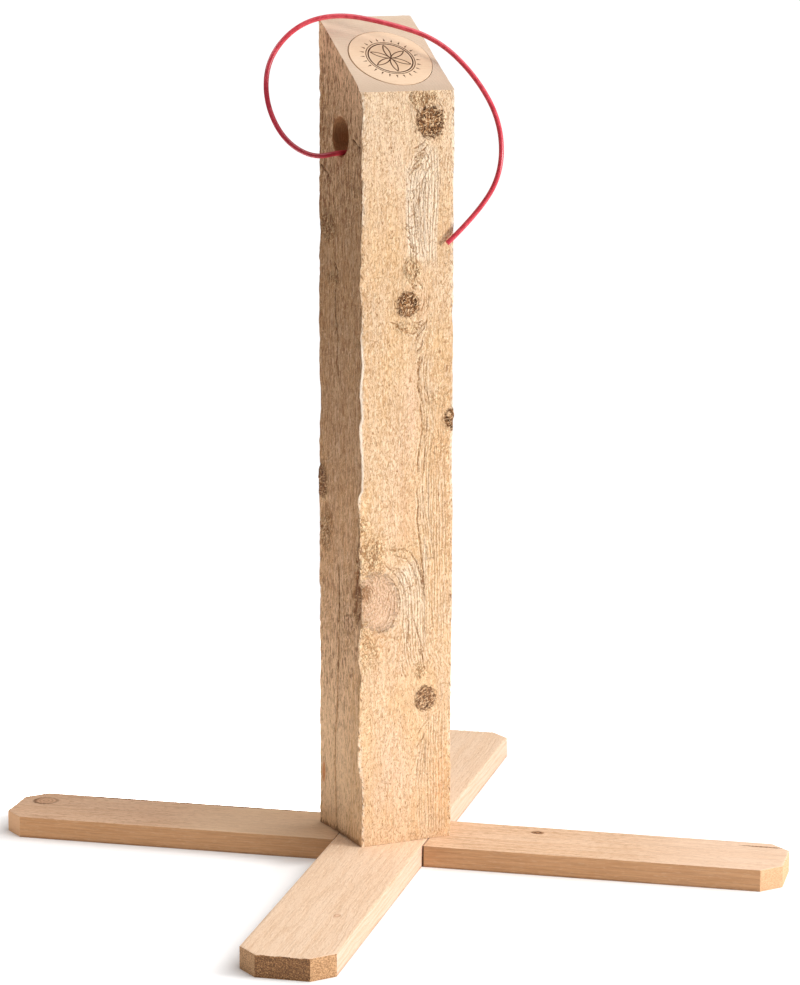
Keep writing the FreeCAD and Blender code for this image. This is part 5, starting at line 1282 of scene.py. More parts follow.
arc = t.math("ARCTAN2", dy, dx)
ray = t.noise(t.join(t.mul(arc, 55.0), t.mul(rr, 0.05), 0.0), 1.0, 2.0, 0.5)
col = t.blend(t.mul(t.step(ray, 0.60, 0.72), 0.22), col, (0.820, 0.690, 0.560))
col = t.blend(t.mul(t.step(t.add(y, t.mul(t.sub(soft, 0.5), 20.0)), -18.0, -42.0), 0.42), col, (0.480, 0.340, 0.235))
col = t.blend(t.mul(t.step(t.add(x, t.mul(t.sub(soft, 0.5), 50.0)), -16.0, -52.0), 0.16), col, (0.600, 0.450, 0.330))
t.set(Base_Color=col, Roughness=0.78, Specular_IOR_Level=0.25, Normal=t.bump(t.add(pores, t.mul(ringn, 0.25)), 0.0003, 0.5))
m_top = t.material
t = Tree("pocket_wood")
p = t.vec("SCALE", t.place(), scale=1000.0)
n1 = t.noise(p, 0.6, 3.0, 0.6)
t.set(Base_Color=t.blend(t.step(n1, 0.35, 0.65), (0.640, 0.470, 0.320), (0.760, 0.600, 0.440)), Roughness=0.8, Specular_IOR_Level=0.2)
m_pocket = t.material

# ---- the bore's wall
t = Tree("drilled_wood")
p = t.vec("SCALE", t.place(), scale=1000.0)
x, y, z = t.split(p)
n1 = t.noise(t.join(t.mul(x, 1.0), y, t.mul(z, 0.2)), 0.6, 3.0, 0.6)
n2 = t.noise(p, 1.8, 2.0, 0.5)
# painted shade: the wall is dark near both mouths and paler further in, where it keeps the wood's own colour
inner = t.step(t.math("ABSOLUTE", t.add(x, 3.5)), 50.0, 22.0)
mouth_shade_col = t.blend(t.step(n1, 0.35, 0.65), (0.330, 0.150, 0.062), (0.430, 0.215, 0.095))
deep_c = t.blend(t.step(n1, 0.35, 0.65), (0.700, 0.400, 0.200), (0.800, 0.500, 0.270))
col = t.blend(inner, mouth_shade_col, deep_c)
col = t.blend(t.mul(t.step(n2, 0.46, 0.32), 0.4), col, (0.250, 0.120, 0.050))
turns = t.math("SINE", t.mul(x, 2.6))
t.set(Base_Color=col, Roughness=0.8, Specular_IOR_Level=0.25, Normal=t.bump(t.add(t.mul(n1, 0.7), t.mul(turns, 0.1)), 0.0005, 0.6))
m_bore = t.material

post = make_mesh("timber_post", V, Q, T, QM, TM, [m_rough, m_top, m_bore, m_pocket], 48.0)
for key, values in attrs.items():
    store(post.data, key, values)
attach(post, "root")
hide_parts("scratching_post")

# ------------------------------------------------------------------ the boards

TURN = math.radians(38.83)
U = np.array([math.cos(TURN), -math.sin(TURN)])
W = np.array([math.sin(TURN), math.cos(TURN)])
LAP = np.array([-2.33, 2.7])
LONG, WIDE, THICK, CLIP = 816.0, 92.7, 22.25, 20.0


def board_mesh(name, along, across, reach, upper, shift, knots, seed, material):
    """A planed board with clipped corners, softened arrises and its half of the lap."""
    a_lo, a_hi = -reach, LONG - reach
    # stations: close together at the ends, where the saw left a fuzzy arris
    inner = np.linspace(a_lo + CLIP, a_hi - CLIP, 150)
    ends = np.array([0.0, 0.35, 0.9, 2.0, 4.0, 7.0, 10.5, 14.0, 17.0])
    a = np.concatenate([a_lo + ends, inner, (a_hi - ends)[::-1]])
    half = np.minimum(WIDE / 2, np.minimum(a - a_lo, a_hi - a) + WIDE / 2 - CLIP)
    # one section: across the top, down a side, across the underside, up a side
    r = 0.7
    beta = np.linspace(-1, 1, 31)
    na = len(a)
    rows_ = []
    for i_, (aa, hw) in enumerate(zip(a, half)):
        inset = max(0.0, 0.7 - min(aa - a_lo, a_hi - aa)) * 0.6
        pts = []
        wr = hw - r
        for b in beta:
            pts.append((b * wr, THICK - inset))
        pts.append((wr + 0.707 * r, THICK - 0.293 * r - inset))
        for zz in np.linspace(THICK - r, r, 8):
            pts.append((hw, np.clip(zz, r + inset, THICK - r - inset)))
        pts.append((wr + 0.707 * r, 0.293 * r + inset))
        for b in beta[::-1]:
            pts.append((b * wr, 0.0 + inset))
        pts.append((-wr - 0.707 * r, 0.293 * r + inset))
        for zz in np.linspace(r, THICK - r, 8):
            pts.append((-hw, np.clip(zz, r + inset, THICK - r - inset)))
        pts.append((-wr - 0.707 * r, THICK - 0.293 * r - inset))
        rows_.append(pts)
    P = np.array(rows_)
    ns = P.shape[1]
    A = np.repeat(a[:, None], ns, 1)
    B, Z = P[..., 0], P[..., 1]
    # planing marks, a faint wave in the wood, fuzz on the top arris of the ends
    wave = 0.10 * lattice(A / 90.0 + 60, B / 30.0 + 60, 1000, seed) + 0.05 * lattice(A / 14.0 + 60, B / 2.9 + 60, 1000, seed + 1)
    top = Z > THICK - 0.5
    Z = Z + np.where(top, wave, 0.0)
    near_end = np.minimum(A - a_lo, a_hi - A)
    fuzz_ = 0.45 * lattice(B / 2.3 + 60, A / 3.0 + 60, 1000, seed + 2) * np.exp(-(near_end / 1.6) ** 2)
    Z = Z + np.where(top, fuzz_, 0.0)
    XY = LAP + A[..., None] * along + B[..., None] * across
    V_ = np.concatenate([XY, Z[..., None]], -1).reshape(-1, 3)
    idx = np.arange(na * ns).reshape(na, ns)
    q = []
    i2, j2 = np.meshgrid(np.arange(na - 1), np.arange(ns), indexing="ij")
    i2, j2 = i2.ravel(), j2.ravel()
    q.append(np.column_stack([idx[i2, j2], idx[i2 + 1, j2], idx[i2 + 1, (j2 + 1) % ns], idx[i2, (j2 + 1) % ns]]))
    # end faces: strips between the upper and the lower half of the section
    ntop = len(beta)
    tri_all = []
    for row, flip in ((idx[0], False), (idx[-1], True)):
        upper_line = row[:ntop]
        lower_line = row[ntop + 10: ntop + 10 + ntop][::-1]
        # corner columns of the two sides
        right_col = row[ntop:ntop + 10]
        left_col = row[2 * ntop + 10:][::-1]
        # a grid across the end: left column, points between, right column
        n_in = 10
        cols_ = []
        for k in range(n_in):
            fr = (k + 1) / (n_in + 1)
            cols_.append(V_[upper_line] * (1 - fr) + V_[lower_line] * fr)
        start_ = len(V_)
        inner_pts = np.array(cols_)
        V_ = np.concatenate([V_, inner_pts.reshape(-1, 3)])
        g_ = np.full((n_in + 2, ntop + 2), -1)
        g_[0, 1:-1] = upper_line
        g_[-1, 1:-1] = lower_line
        g_[1:-1, 1:-1] = start_ + np.arange(n_in * ntop).reshape(n_in, ntop)
        g_[1:-1, -1] = right_col
        g_[1:-1, 0] = left_col
        cap = []
        tri = []
        for y_ in range(n_in + 1):
            for x_ in range(ntop + 1):
                c = [g_[y_, x_], g_[y_, x_ + 1], g_[y_ + 1, x_ + 1], g_[y_ + 1, x_]]
                c = [k for k in c if k >= 0]
                if not flip:
                    c = c[::-1]
                if len(c) == 4:
                    cap.append(c)
                elif len(c) == 3:
                    tri.append(c)
        q.append(np.array(cap))
        tri_all = tri_all + tri
    Q_ = np.concatenate(q)
    T_ = np.array(tri_all)
    obj = make_mesh(name, V_, Q_, T_, np.zeros(len(Q_), int), np.zeros(len(T_), int), [material], 35.0)
    bm = bmesh.new()
    bm.from_mesh(obj.data)
    bmesh.ops.recalc_face_normals(bm, faces=bm.faces)
    bm.to_mesh(obj.data)
    bm.free()

    def cut(points, faces_):
        m = bpy.data.meshes.new("cutter")
        m.from_pydata([tuple(c * MM for c in v) for v in points], [], faces_)
        o = bpy.data.objects.new("cutter", m)
        scene.collection.objects.link(o)
        b = bmesh.new()
        b.from_mesh(m)
        bmesh.ops.recalc_face_normals(b, faces=b.faces)
        b.to_mesh(m)
        b.free()
        mod = obj.modifiers.new("cut", "BOOLEAN")
        mod.operation, mod.solver, mod.object = "DIFFERENCE", "EXACT", o
        bpy.context.view_layer.update()
        dg = bpy.context.evaluated_depsgraph_get()
        new_mesh = bpy.data.meshes.new_from_object(obj.evaluated_get(dg), depsgraph=dg)
        obj.modifiers.clear()
        old = obj.data
        obj.data = new_mesh
        bpy.data.meshes.remove(old)
        bpy.data.objects.remove(o)
        bpy.data.meshes.remove(m)

    def world(pa, pb, pz):
        v = LAP + pa * along + pb * across
        return (float(v[0]), float(v[1]), pz)

    hw = (WIDE + 1.6) / 2
    z0, z1 = (THICK / 2, THICK + 5) if upper else (-5, THICK / 2)
    box_pts = [world(shift + sa * hw, sb * 70.0, zz) for zz in (z0, z1) for sa, sb in ((-1, -1), (1, -1), (1, 1), (-1, 1))]
    box_faces = [(0, 1, 2, 3), (4, 5, 6, 7), (0, 1, 5, 4), (1, 2, 6, 5), (2, 3, 7, 6), (3, 0, 4, 7)]
    cut(box_pts, box_faces)
    prof = [(-1.0, 5.3), (0.8, 5.3), (3.3, 2.8), (30.0, 2.8)] if upper else [(-1.0, 2.8), (30.0, 2.8)]
    pts, fcs, seg = [], [], 32
    for sx, sy in ((-1, -1), (1, -1), (1, 1), (-1, 1)):
        base_i = len(pts)
        for zz, rad in prof:
            for k in range(seg):
                th = 2 * math.pi * k / seg
                pts.append(world(sx * 25.0 + rad * math.cos(th), sy * 25.0 + rad * math.sin(th), zz))
        for lv in range(len(prof) - 1):
            for k in range(seg):
                k2 = (k + 1) % seg
                s0, s1 = base_i + lv * seg, base_i + (lv + 1) * seg
                fcs.append((s0 + k, s0 + k2, s1 + k2, s1 + k))
        fcs.append(tuple(base_i + k for k in range(seg)))
        fcs.append(tuple(base_i + (len(prof) - 1) * seg + k for k in range(seg)))
    cut(pts, fcs)
    mesh = obj.data
    mesh.shade_smooth()
    mesh.set_sharp_from_angle(angle=math.radians(35.0))
    # grain coordinates: along, across and up, pushed aside by the knots
    co = np.empty(len(mesh.vertices) * 3, np.float32)
    mesh.vertices.foreach_get("co", co)
    co = co.reshape(-1, 3).astype(float) / MM
    la, lb = (co[:, :2] - LAP) @ along, (co[:, :2] - LAP) @ across
    lz = co[:, 2]
    push, best_k = np.zeros(len(co)), np.full(len(co), -1.0)
    ku, kv, soft_k = np.zeros(len(co)), np.zeros(len(co)), np.zeros(len(co))
    for ka_, kb_, ra, rb, tone in knots:
        du, dv = la - ka_, lb - kb_
        rn = np.hypot(du / ra, dv / rb)
        push += dv * rb * rb / (dv * dv + (du * rb / ra / 1.7) ** 2 + 0.6 * rb * rb) * np.exp(-(rn / 3.2) ** 2)
        inside = 1 - rn
        take = inside > best_k
        best_k = np.where(take, inside, best_k)
        ku, kv, soft_k = np.where(take, du, ku), np.where(take, dv, kv), np.where(take, tone, soft_k)
    wander = 2.2 * lattice(la / 190.0 + 60, lb / 40.0 + 60, 1000, seed + 5)
    store(mesh, "grain", np.column_stack([la, lb - push - wander, lz]))
    store(mesh, "marks", np.column_stack([best_k, np.minimum(la - a_lo, a_hi - la), lb]))
    store(mesh, "knot_place", np.column_stack([ku, kv, soft_k]))
    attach(obj, "root")
    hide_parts(name.replace("planed_", "base_"))
    return obj


def board_material(name, axis, offset, warm, ends, bands, streaks, lefty):
    """Planed softwood: long soft grain, fine fibres, end grain on the ends."""
    t = Tree(name)
    g = t.vec("ADD", t.attr("grain"), offset)
    a, b, z = t.split(g)
    knot, end, _ = t.split(t.attr("marks"))
    ku, kv, tone = t.split(t.attr("knot_place"))
    # growth rings run through the board as gentle arcs about a far centre
    zz = t.add(z, 66.0)
    rr = t.math("SQRT", t.add(t.mul(b, b), t.mul(zz, zz)))
    slow = t.noise(t.join(t.mul(a, 0.006), t.mul(b, 0.05), t.mul(z, 0.05)), 1.0, 3.0, 0.55)
    quick = t.noise(t.join(t.mul(a, 0.03), t.mul(b, 0.3), t.mul(z, 0.3)), 1.0, 2.0, 0.5)
    rr = t.add(t.add(rr, t.mul(t.sub(slow, 0.5), bands)), t.mul(a, 0.010))
    rr = t.add(rr, t.mul(t.sub(quick, 0.5), 3.0))
    cyc = t.math("FRACT", t.mul(rr, 0.22))
    late = t.mul(t.step(cyc, 0.45, 0.92), t.step(cyc, 1.0, 0.95))
    long_f = t.noise(t.join(t.mul(a, 0.030), b, z), 0.62, 3.0, 0.62)
    long2 = t.noise(t.join(t.mul(a, 0.012), b, t.add(z, 40.0)), 0.22, 3.0, 0.60)
    short_f = t.noise(t.join(t.mul(a, 0.20), b, z), 0.72, 2.0, 0.58, 0.4)
    tiny = t.noise(t.join(t.mul(a, 0.45), b, z), 1.4, 1.0, 0.5)
    patch = t.noise(t.join(t.mul(a, 0.2), b, z), 0.035, 2.0, 0.5)
    n = t.t.nodes.new("ShaderNodeNewGeometry")
    nx, ny, nz = t.split(n.outputs["True Normal"])
    flat = t.step(t.math("ABSOLUTE", nz), 0.4, 0.6)
    col = t.blend(t.step(patch, 0.35, 0.65), warm[0], warm[1])
    col = t.blend(t.mul(late, 0.42), col, warm[2])
    col = t.blend(t.mul(t.step(long2, 0.50, 0.62), 0.45 * streaks), col, warm[2])
    col = t.blend(t.mul(t.step(long_f, 0.48, 0.35), 0.55 * streaks), col, warm[3])
    col = t.blend(t.mul(t.step(short_f, 0.47, 0.35), 0.50 * streaks), col, warm[3])
    col = t.blend(t.mul(t.step(short_f, 0.55, 0.68), 0.45), col, warm[4])
    col = t.blend(t.mul(t.step(tiny, 0.42, 0.30), 0.25), col, warm[3])
    # the left arm is more flecked, and painted darker and redder: painted shade where the post's shadow falls on it
    left_arm_shade_and_flecks = t.step(t.add(t.split(t.attr("grain"))[0], t.mul(t.sub(patch, 0.5), 90.0)), -30.0, -150.0)
    left_arm_shade_and_flecks = t.mul(left_arm_shade_and_flecks, lefty)
    col = t.blend(t.mul(left_arm_shade_and_flecks, 0.36), col, (0.770, 0.460, 0.295))
    col = t.blend(t.mul(t.mul(t.step(short_f, 0.46, 0.37), left_arm_shade_and_flecks), 0.26), col, (0.400, 0.200, 0.100))
    col = t.blend(t.mul(t.mul(t.step(long_f, 0.44, 0.33), left_arm_shade_and_flecks), 0.55), col, (0.440, 0.225, 0.115))
    # painted light: the left arm lighter near the post, lifting the post's shadow on it
    painted_light_near_post = t.mul(t.step(t.split(t.attr("grain"))[0], -40.0, -60.0), t.step(t.split(t.attr("grain"))[0], -260.0, -150.0))
    col = t.blend(t.mul(painted_light_near_post, 0.42 * lefty), col, (0.990, 0.740, 0.490))
    far_ = t.step(t.split(t.attr("grain"))[0], 210.0, 340.0)
    col = t.blend(t.mul(far_, 0.34 * lefty), col, (0.960, 0.740, 0.590))
    # the sides are a shade browner than the face, and streakier
    side = t.sub(1.0, flat)
    scol = t.blend(t.step(long_f, 0.38, 0.62), warm[5], warm[6])
    scol = t.blend(t.mul(late, 0.45), scol, warm[3])
    scol = t.blend(t.mul(t.step(short_f, 0.55, 0.70), 0.20), scol, warm[0])
    scol = t.blend(t.mul(t.step(t.split(t.attr("grain"))[0], -20.0, 60.0), 0.20 * lefty), scol, (0.400, 0.180, 0.070))
    scol = t.blend(t.mul(t.step(t.split(t.attr("grain"))[0], 20.0, -60.0), 0.16 * lefty), scol, (0.440, 0.190, 0.060))
    # painted shade: a dark strip along the foot of the sides, where they meet the floor
    scol = t.blend(t.mul(t.step(t.add(z, t.mul(t.sub(short_f, 0.5), 2.0)), 2.6, 0.2), 0.65), scol, (0.230, 0.110, 0.050))
    col = t.blend(t.mul(side, 0.92), col, scol)
    # the open joint at the right shoulder of the lap
    gx = t.split(t.attr("grain"))[0]
    slit = t.mul(t.step(gx, 48.8, 48.0), t.step(gx, 45.7, 46.2))
    col = t.blend(t.mul(t.mul(slit, t.math("MULTIPLY_ADD", side, 0.55, 0.35)), lefty), col, (0.055, 0.025, 0.012))
    # knots
    kr = t.math("SQRT", t.add(t.mul(ku, ku), t.mul(kv, kv)))
    ke = t.add(knot, t.mul(t.sub(t.noise(t.join(ku, kv, 0.0), 0.30, 3.0, 0.65), 0.5), 0.8))
    inside = t.step(ke, -0.04, 0.14)
    kring = t.math("SINE", t.add(t.mul(kr, 1.5), t.mul(short_f, 7.0)))
    kd = t.blend(t.step(kring, -0.7, 0.8), (0.40, 0.20, 0.09), (0.16, 0.07, 0.03))
    kp = t.blend(0.35, col, (0.76, 0.42, 0.25))
    kp = t.blend(t.mul(t.step(kring, -0.4, 0.8), 0.55), kp, (0.44, 0.215, 0.105))
    col = t.blend(t.mul(inside, 0.95), col, t.blend(tone, kd, kp))
    lean = t.step(t.add(t.mul(ku, -0.7), t.mul(kv, -0.7)), -5.0, 6.0, 0.45, 1.0)
    rim_ = t.mul(t.mul(t.step(ke, -0.20, 0.0), t.step(ke, 0.22, 0.05)), lean)
    col = t.blend(t.mul(t.mul(rim_, t.step(tone, 1.4, 1.0, 0.15, 1.0)), 0.85), col, (0.17, 0.072, 0.030))
    # end grain, darker, with rings across it
    facing = t.math("ABSOLUTE", t.vec("DOT_PRODUCT", n.outputs["True Normal"], axis))
    is_end = t.step(facing, 0.80, 0.95)
    clip_ = t.mul(t.step(facing, 0.45, 0.62), t.sub(1.0, is_end))
    e_n = t.noise(t.join(t.mul(a, 0.5), b, t.mul(z, 1.3)), 0.75, 3.0, 0.68)
    ecol = t.blend(t.step(e_n, 0.455, 0.545), ends[0], ends[1])
    ecol = t.blend(t.mul(late, 0.60), ecol, ends[2])
    ecol = t.blend(t.mul(t.step(e_n, 0.56, 0.64), 0.72), ecol, ends[3])
    col = t.blend(t.mul(is_end, 0.92), col, ecol)
    ccol = t.blend(t.step(e_n, 0.42, 0.58), ends[4], ends[5])
    # painted light: the chamfers at the left arm's end are lighter, as if lit from the left
    ccol = t.blend(t.mul(t.step(t.split(t.attr("grain"))[0], 0.0, -100.0), 0.75 * lefty), ccol, (0.840, 0.490, 0.270))
    col = t.blend(t.mul(clip_, 0.92), col, ccol)
    height_ = t.add(t.add(t.mul(long_f, 0.5), t.mul(short_f, 0.6)), t.mul(late, -0.25))
    height_ = t.add(height_, t.mul(t.mul(e_n, t.add(is_end, clip_)), 1.2))
    t.set(Base_Color=col, Roughness=0.72, Specular_IOR_Level=0.28, Normal=t.bump(height_, 0.0005, 0.7))
    return t.material


PALETTE = (
    (0.840, 0.585, 0.400), (0.815, 0.550, 0.360), (0.700, 0.425, 0.245), (0.460, 0.255, 0.130),
    (0.930, 0.720, 0.540), (0.540, 0.280, 0.125), (0.640, 0.350, 0.170),
)
PALETTE2 = (
    (0.900, 0.665, 0.480), (0.885, 0.640, 0.450), (0.790, 0.525, 0.335), (0.560, 0.345, 0.195),
    (0.970, 0.790, 0.620), (0.665, 0.440, 0.315), (0.725, 0.500, 0.385),
)
LIGHT_ENDS = (
    (0.520, 0.300, 0.150), (0.720, 0.465, 0.270), (0.480, 0.265, 0.125), (0.860, 0.620, 0.420),
    (0.540, 0.310, 0.165), (0.690, 0.430, 0.250),
)
DARK_ENDS = (
    (0.135, 0.052, 0.013), (0.375, 0.168, 0.052), (0.100, 0.038, 0.010), (0.660, 0.370, 0.155),
    (0.330, 0.165, 0.065), (0.640, 0.370, 0.180),
)
m_lr = board_material("planed_board_wood_a", (float(U[0]), float(U[1]), 0.0), (0.0, 12.0, 0.0), PALETTE, LIGHT_ENDS, 26.0, 1.0, 1.0)
lr = board_mesh(
    "planed_board_left_right", U, W, 405.0, True, 0.4,
    [(-378.0, 17.0, 12.5, 12.0, 0.9), (152.0, 27.0, 6.5, 5.0, 0.0), (384.0, 33.0, 24.0, 2.0, 0.2), (-300.0, 43.0, 40.0, 1.6, 0.1),
     (-228.0, 43.8, 26.0, 1.5, 0.3), (-170.0, 42.6, 30.0, 1.5, 0.3), (-118.0, 44.0, 22.0, 1.5, 0.3)],
    70, m_lr,
)
m_fb = board_material("planed_board_wood_b", (float(W[0]), float(W[1]), 0.0), (900.0, -16.0, 0.0), PALETTE2, DARK_ENDS, 20.0, 0.55, 0.0)
fb = board_mesh(
    "planed_board_front_back", W, -U, 411.5, False, 0.0,
    [(-285.0, -19.0, 7.0, 4.0, 1.5)],
    80, m_fb,
)

# ------------------------------------------------------------------- the disc

DISC_R, DISC_T = 42.5, 4.0
D0 = np.array([
    -3.5 + 1.0 + 0.45,
    8.0 + (0.45 - 8.0) * math.cos(SLOPE) + 3.9 * math.sin(SLOPE),
    Z_FOOT + 795.35 + (0.45 - 8.0) * math.sin(SLOPE) - 3.9 * math.cos(SLOPE),
])


def ornament(x, y):
    """A six-petalled rosette in a double ring with ticks: 0 plain, 1 burnt line; and light toasting."""
    r_, a_ = np.hypot(x, y), np.arctan2(y, x)
    R = 21.0
    d = np.full(x.shape, 9.0)
    inside_two = np.zeros(x.shape)
    for k in range(6):
        cx, cy = R * math.cos(math.pi * k / 3 + math.pi / 6), R * math.sin(math.pi * k / 3 + math.pi / 6)
        q = np.hypot(x - cx, y - cy)
        d = np.minimum(d, np.where(r_ < R + 0.3, np.abs(q - R), 9.0))
        inside_two += (q < R)
    w = 0.42
    line_ = 1 - smooth(d, w, w + 0.38)
    for rad, half_w in ((R + 1.7, 0.55), (R + 4.1, 0.28)):
        line_ = np.maximum(line_, 1 - smooth(np.abs(r_ - rad), half_w, half_w + 0.35))
    # short wedges between the rings
    n_ = 24
    aa = (a_ / (2 * math.pi) * n_) % 1.0 - 0.5
    width_ = 0.62 * (1 - smooth(r_, 27.6, 31.6))
    wedge = (1 - smooth(np.abs(aa) * 2 * math.pi / n_ * r_, width_, width_ + 0.35)) * (r_ > 27.2) * (r_ < 31.6)
    line_ = np.maximum(line_, wedge)
    line_ = np.maximum(line_, 1 - smooth(r_, 1.1, 1.5))
    toast = (inside_two >= 2) * (r_ < R) * 0.30
    return line_, toast


nr_, na_ = 112, 540
rads = np.concatenate([np.linspace(0.4, DISC_R - 0.45, nr_), [DISC_R - 0.4, DISC_R - 0.2, DISC_R - 0.053, DISC_R]])
drop = np.concatenate([np.zeros(nr_), [0.0, 0.054, 0.2, 0.4]])
th = np.linspace(0, 2 * math.pi, na_, endpoint=False)
Rg, Tg = np.meshgrid(rads, th, indexing="ij")
xg, yg = Rg * np.cos(Tg), Rg * np.sin(Tg)
line_g, toast_g = ornament(xg, yg)
zg = DISC_T - drop[:, None] - 0.30 * line_g + 0.03 * lattice(xg / 9.0 + 60, yg / 1.6 + 60, 1000, 90)
pts = [np.column_stack([xg.ravel(), yg.ravel(), zg.ravel()])]
burn = [np.column_stack([line_g.ravel(), toast_g.ravel(), np.zeros(line_g.size)])]
nrt = len(rads)
idx = np.arange(nrt * na_).reshape(nrt, na_)
extra = []
for rad, zz in ((DISC_R, 2.4), (DISC_R, 0.8), (DISC_R - 0.3, 0.0), (30.0, 0.0), (12.0, 0.0)):
    extra.append(np.column_stack([rad * np.cos(th), rad * np.sin(th), np.full(na_, zz)]))
ex = np.concatenate(extra)
idx2 = np.concatenate([idx, nrt * na_ + np.arange(len(extra) * na_).reshape(-1, na_)])
pts.append(ex)
burn.append(np.zeros((len(ex), 3)))
c0 = nrt * na_ + len(ex)
pts.append(np.array([[0, 0, DISC_T - 0.30], [0, 0, 0.0]]))
burn.append(np.array([[1.0, 0, 0], [0, 0, 0]]))
L = np.concatenate(pts)
Bn = np.concatenate(burn)
i2, j2 = np.meshgrid(np.arange(len(idx2) - 1), np.arange(na_), indexing="ij")
i2, j2 = i2.ravel(), j2.ravel()
dq = np.column_stack([idx2[i2, j2], idx2[i2 + 1, j2], idx2[i2 + 1, (j2 + 1) % na_], idx2[i2, (j2 + 1) % na_]])
dt = np.concatenate([
    np.column_stack([np.full(na_, c0), idx2[0], np.roll(idx2[0], -1)]),
    np.column_stack([np.full(na_, c0 + 1), np.roll(idx2[-1], -1), idx2[-1]]),
])
DV = D0 + np.outer(L[:, 0], E_X) + np.outer(L[:, 1], E_UP) + np.outer(L[:, 2], E_N)

t = Tree("disc_birch")
pl = t.attr("disc_place")
x, y, z = t.split(pl)
burnt, toast, _ = t.split(t.attr("burn"))
lo_f = t.noise(t.join(t.mul(x, 0.05), y, z), 0.7, 3.0, 0.6, 0.3)
sh_f = t.noise(t.join(t.mul(x, 0.25), y, z), 1.3, 2.0, 0.5)
pat = t.noise(t.join(t.mul(x, 0.3), y, z), 0.07, 2.0, 0.5)
col = t.blend(t.step(pat, 0.35, 0.65), (0.860, 0.640, 0.455), (0.845, 0.610, 0.415))
col = t.blend(t.mul(t.step(lo_f, 0.50, 0.36), 0.30), col, (0.690, 0.455, 0.280))
col = t.blend(t.mul(t.step(sh_f, 0.45, 0.33), 0.20), col, (0.600, 0.390, 0.235))
# painted shade: the disc darker towards its left
col = t.blend(t.mul(t.step(x, 12.0, -34.0), 0.30), col, (0.700, 0.500, 0.340))
col = t.blend(toast, col, (0.560, 0.330, 0.175))
edge_b = t.step(t.add(burnt, t.mul(t.sub(sh_f, 0.5), 0.5)), 0.05, 0.55)
col = t.blend(t.mul(edge_b, 0.75), col, (0.300, 0.150, 0.070))
col = t.blend(t.step(t.add(burnt, t.mul(t.sub(sh_f, 0.5), 0.4)), 0.45, 0.95), col, (0.085, 0.038, 0.018))
t.set(Base_Color=col, Roughness=t.step(burnt, 0.0, 1.0, 0.55, 0.85), Specular_IOR_Level=0.35, Normal=t.bump(t.add(lo_f, sh_f), 0.00015, 0.5))
disc = make_mesh("round_wooden_disc", DV, dq, dt, np.zeros(len(dq), int), np.zeros(len(dt), int), [t.material], 50.0)
store(disc.data, "burn", Bn)
store(disc.data, "disc_place", L)
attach(disc, "root")
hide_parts("label_disc")

# ---------------------------------------------------------- screws and staple

t = Tree("zinc_plated")
p = t.place()
n1 = t.noise(p, 900.0, 3.0, 0.6)
n2 = t.noise(p, 140.0, 2.0, 0.5)
col = t.blend(t.step(n2, 0.35, 0.65), (0.620, 0.600, 0.540), (0.520, 0.520, 0.500))
t.set(Base_Color=col, Metallic=1.0, Roughness=t.step(n1, 0.3, 0.7, 0.26, 0.46), Normal=t.bump(n1, 0.00008, 0.4))
m_zinc = t.material
t = Tree("staple_wire_steel")
p = t.place()
n1 = t.noise(t.vec("MULTIPLY", p, (1.0, 1.0, 0.2)), 1400.0, 2.0, 0.6)
col = t.blend(t.step(n1, 0.35, 0.65), (0.480, 0.470, 0.450), (0.360, 0.350, 0.330))
t.set(Base_Color=col, Metallic=1.0, Roughness=t.step(n1, 0.3, 0.7, 0.30, 0.50), Normal=t.bump(n1, 0.00006, 0.4))
m_staple = t.material
for node, material in (("base_screws", m_zinc), ("cord_staple", m_staple)):
    o = frame["nodes"][node]
    if o.material_slots:
        for s in o.material_slots:
            s.material = material
    else:
        o.data.materials.append(material)
    # shading only: the mesh's vertices stay as they are
    o.data.shade_smooth()
    o.data.set_sharp_from_angle(angle=math.radians(35.0))

# ------------------------------------------------------------ floor and lights

fl = bpy.data.meshes.new("floor")
n_seg = 96
R_FLOOR = 1.05
fl.from_pydata(
    [(0.0, 0.0, 0.0)] + [(R_FLOOR * math.cos(2 * math.pi * k / n_seg), R_FLOOR * math.sin(2 * math.pi * k / n_seg), 0.0) for k in range(n_seg)],
    [], [(0, k + 1, (k + 1) % n_seg + 1) for k in range(n_seg)],
)
floor = bpy.data.objects.new("floor", fl)
scene.collection.objects.link(floor)
t = Tree("floor_white")
p = t.place()
# The floor glows though it is no lamp: a hot spot behind the left arm lights the left face from below, the glow rises
# further out, and it falls away within a few centimetres of the boards, which paints their narrow shadows on the floor.
spot = t.vec("LENGTH", t.vec("SUBTRACT", p, (-0.24, 0.30, 0.0)))
behind = t.step(t.vec("DOT_PRODUCT", p, (0.627, 0.779, 0.0)), 0.02, 0.12)
glow = t.mul(t.step(spot, 0.05, 0.42, 6.5, 0.0), behind)
far = t.step(t.vec("LENGTH", p), 0.32, 0.80, 0.03, 0.65)
q = t.vec("SUBTRACT", p, (float(LAP[0]) * MM, float(LAP[1]) * MM, 0.0))
fu = t.math("ABSOLUTE", t.vec("DOT_PRODUCT", q, (float(U[0]), float(U[1]), 0.0)))
fv = t.math("ABSOLUTE", t.vec("DOT_PRODUCT", q, (float(W[0]), float(W[1]), 0.0)))
gap_a = t.math("MAXIMUM", t.sub(fu, 0.408), t.sub(fv, 0.0463))
gap_b = t.math("MAXIMUM", t.sub(fv, 0.408), t.sub(fu, 0.0463))
clear = t.step(t.math("MINIMUM", gap_a, gap_b), 0.004, 0.044, 0.03, 0.44)
t.set(
    Base_Color=(0.86, 0.86, 0.87), Roughness=0.9, Specular_IOR_Level=0.1,
    Emission_Color=(1.0, 0.97, 0.94, 1.0), Emission_Strength=t.add(t.add(glow, far), clear),
)
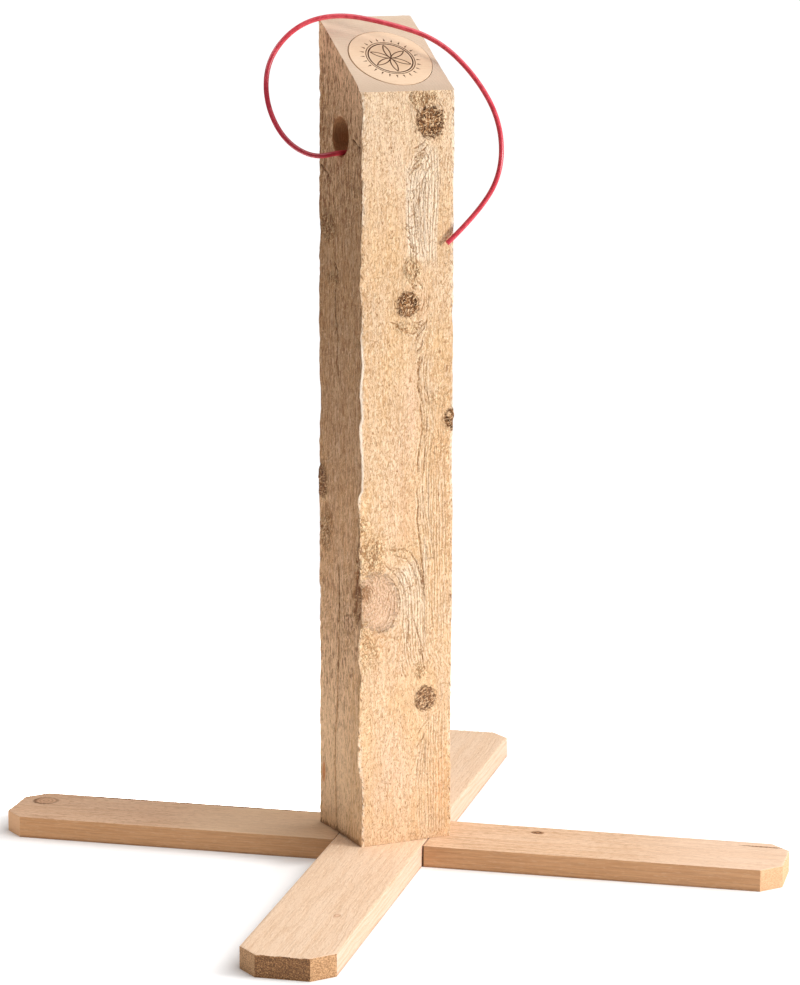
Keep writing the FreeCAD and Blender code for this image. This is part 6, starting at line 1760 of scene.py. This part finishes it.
fl.materials.append(t.material)


def softbox(name, at, look, size, watts, colour=(1, 1, 1)):
    d = bpy.data.lights.new(name, "AREA")
    d.shape, d.size, d.size_y = "RECTANGLE", size[0], size[1]
    d.energy, d.color = watts, colour
    o = bpy.data.objects.new(name, d)
    scene.collection.objects.link(o)
    o.location = at
    o.rotation_euler = (Vector(look) - Vector(at)).to_track_quat("-Z", "Y").to_euler()
    o.visible_camera = False
    return o


softbox("key_softbox", (1.60, -1.72, 0.80), (0.0, 0.0, 0.42), (0.5, 0.6), 48.6, (1.0, 0.985, 0.96))
softbox("left_top_softbox", (-0.25, 0.095, 0.935), (-0.053, 0.042, 0.845), (0.12, 0.12), 0.17, (1.0, 0.94, 0.90))
softbox("left_low_softbox", (-0.60, 0.10, 0.13), (-0.053, 0.0, 0.04), (0.22, 0.12), 0.125, (1.0, 0.90, 0.78))
sun = bpy.data.lights.new("overhead", "SUN")
sun.energy, sun.angle = 2.22, math.radians(60.0)
so = bpy.data.objects.new("overhead", sun)
scene.collection.objects.link(so)
so.rotation_euler = (Vector((0, 0, 0)) - Vector((0.35, -0.25, 1.0))).to_track_quat("-Z", "Y").to_euler()

world = scene.world or bpy.data.worlds.new("world")
scene.world = world
world.use_nodes = True
wt = world.node_tree
wt.nodes.clear()
wo = wt.nodes.new("ShaderNodeOutputWorld")
bg = wt.nodes.new("ShaderNodeBackground")
bg2 = wt.nodes.new("ShaderNodeBackground")
mx = wt.nodes.new("ShaderNodeMixShader")
lp = wt.nodes.new("ShaderNodeLightPath")
bg.inputs["Color"].default_value = (1.0, 0.95, 0.90, 1.0)
bg.inputs["Strength"].default_value = 0.17
bg2.inputs["Color"].default_value = (1.0, 1.0, 1.0, 1.0)
bg2.inputs["Strength"].default_value = 1.06
wt.links.new(lp.outputs["Is Camera Ray"], mx.inputs[0])
wt.links.new(bg.outputs[0], mx.inputs[1])
wt.links.new(bg2.outputs[0], mx.inputs[2])
wt.links.new(mx.outputs[0], wo.inputs["Surface"])
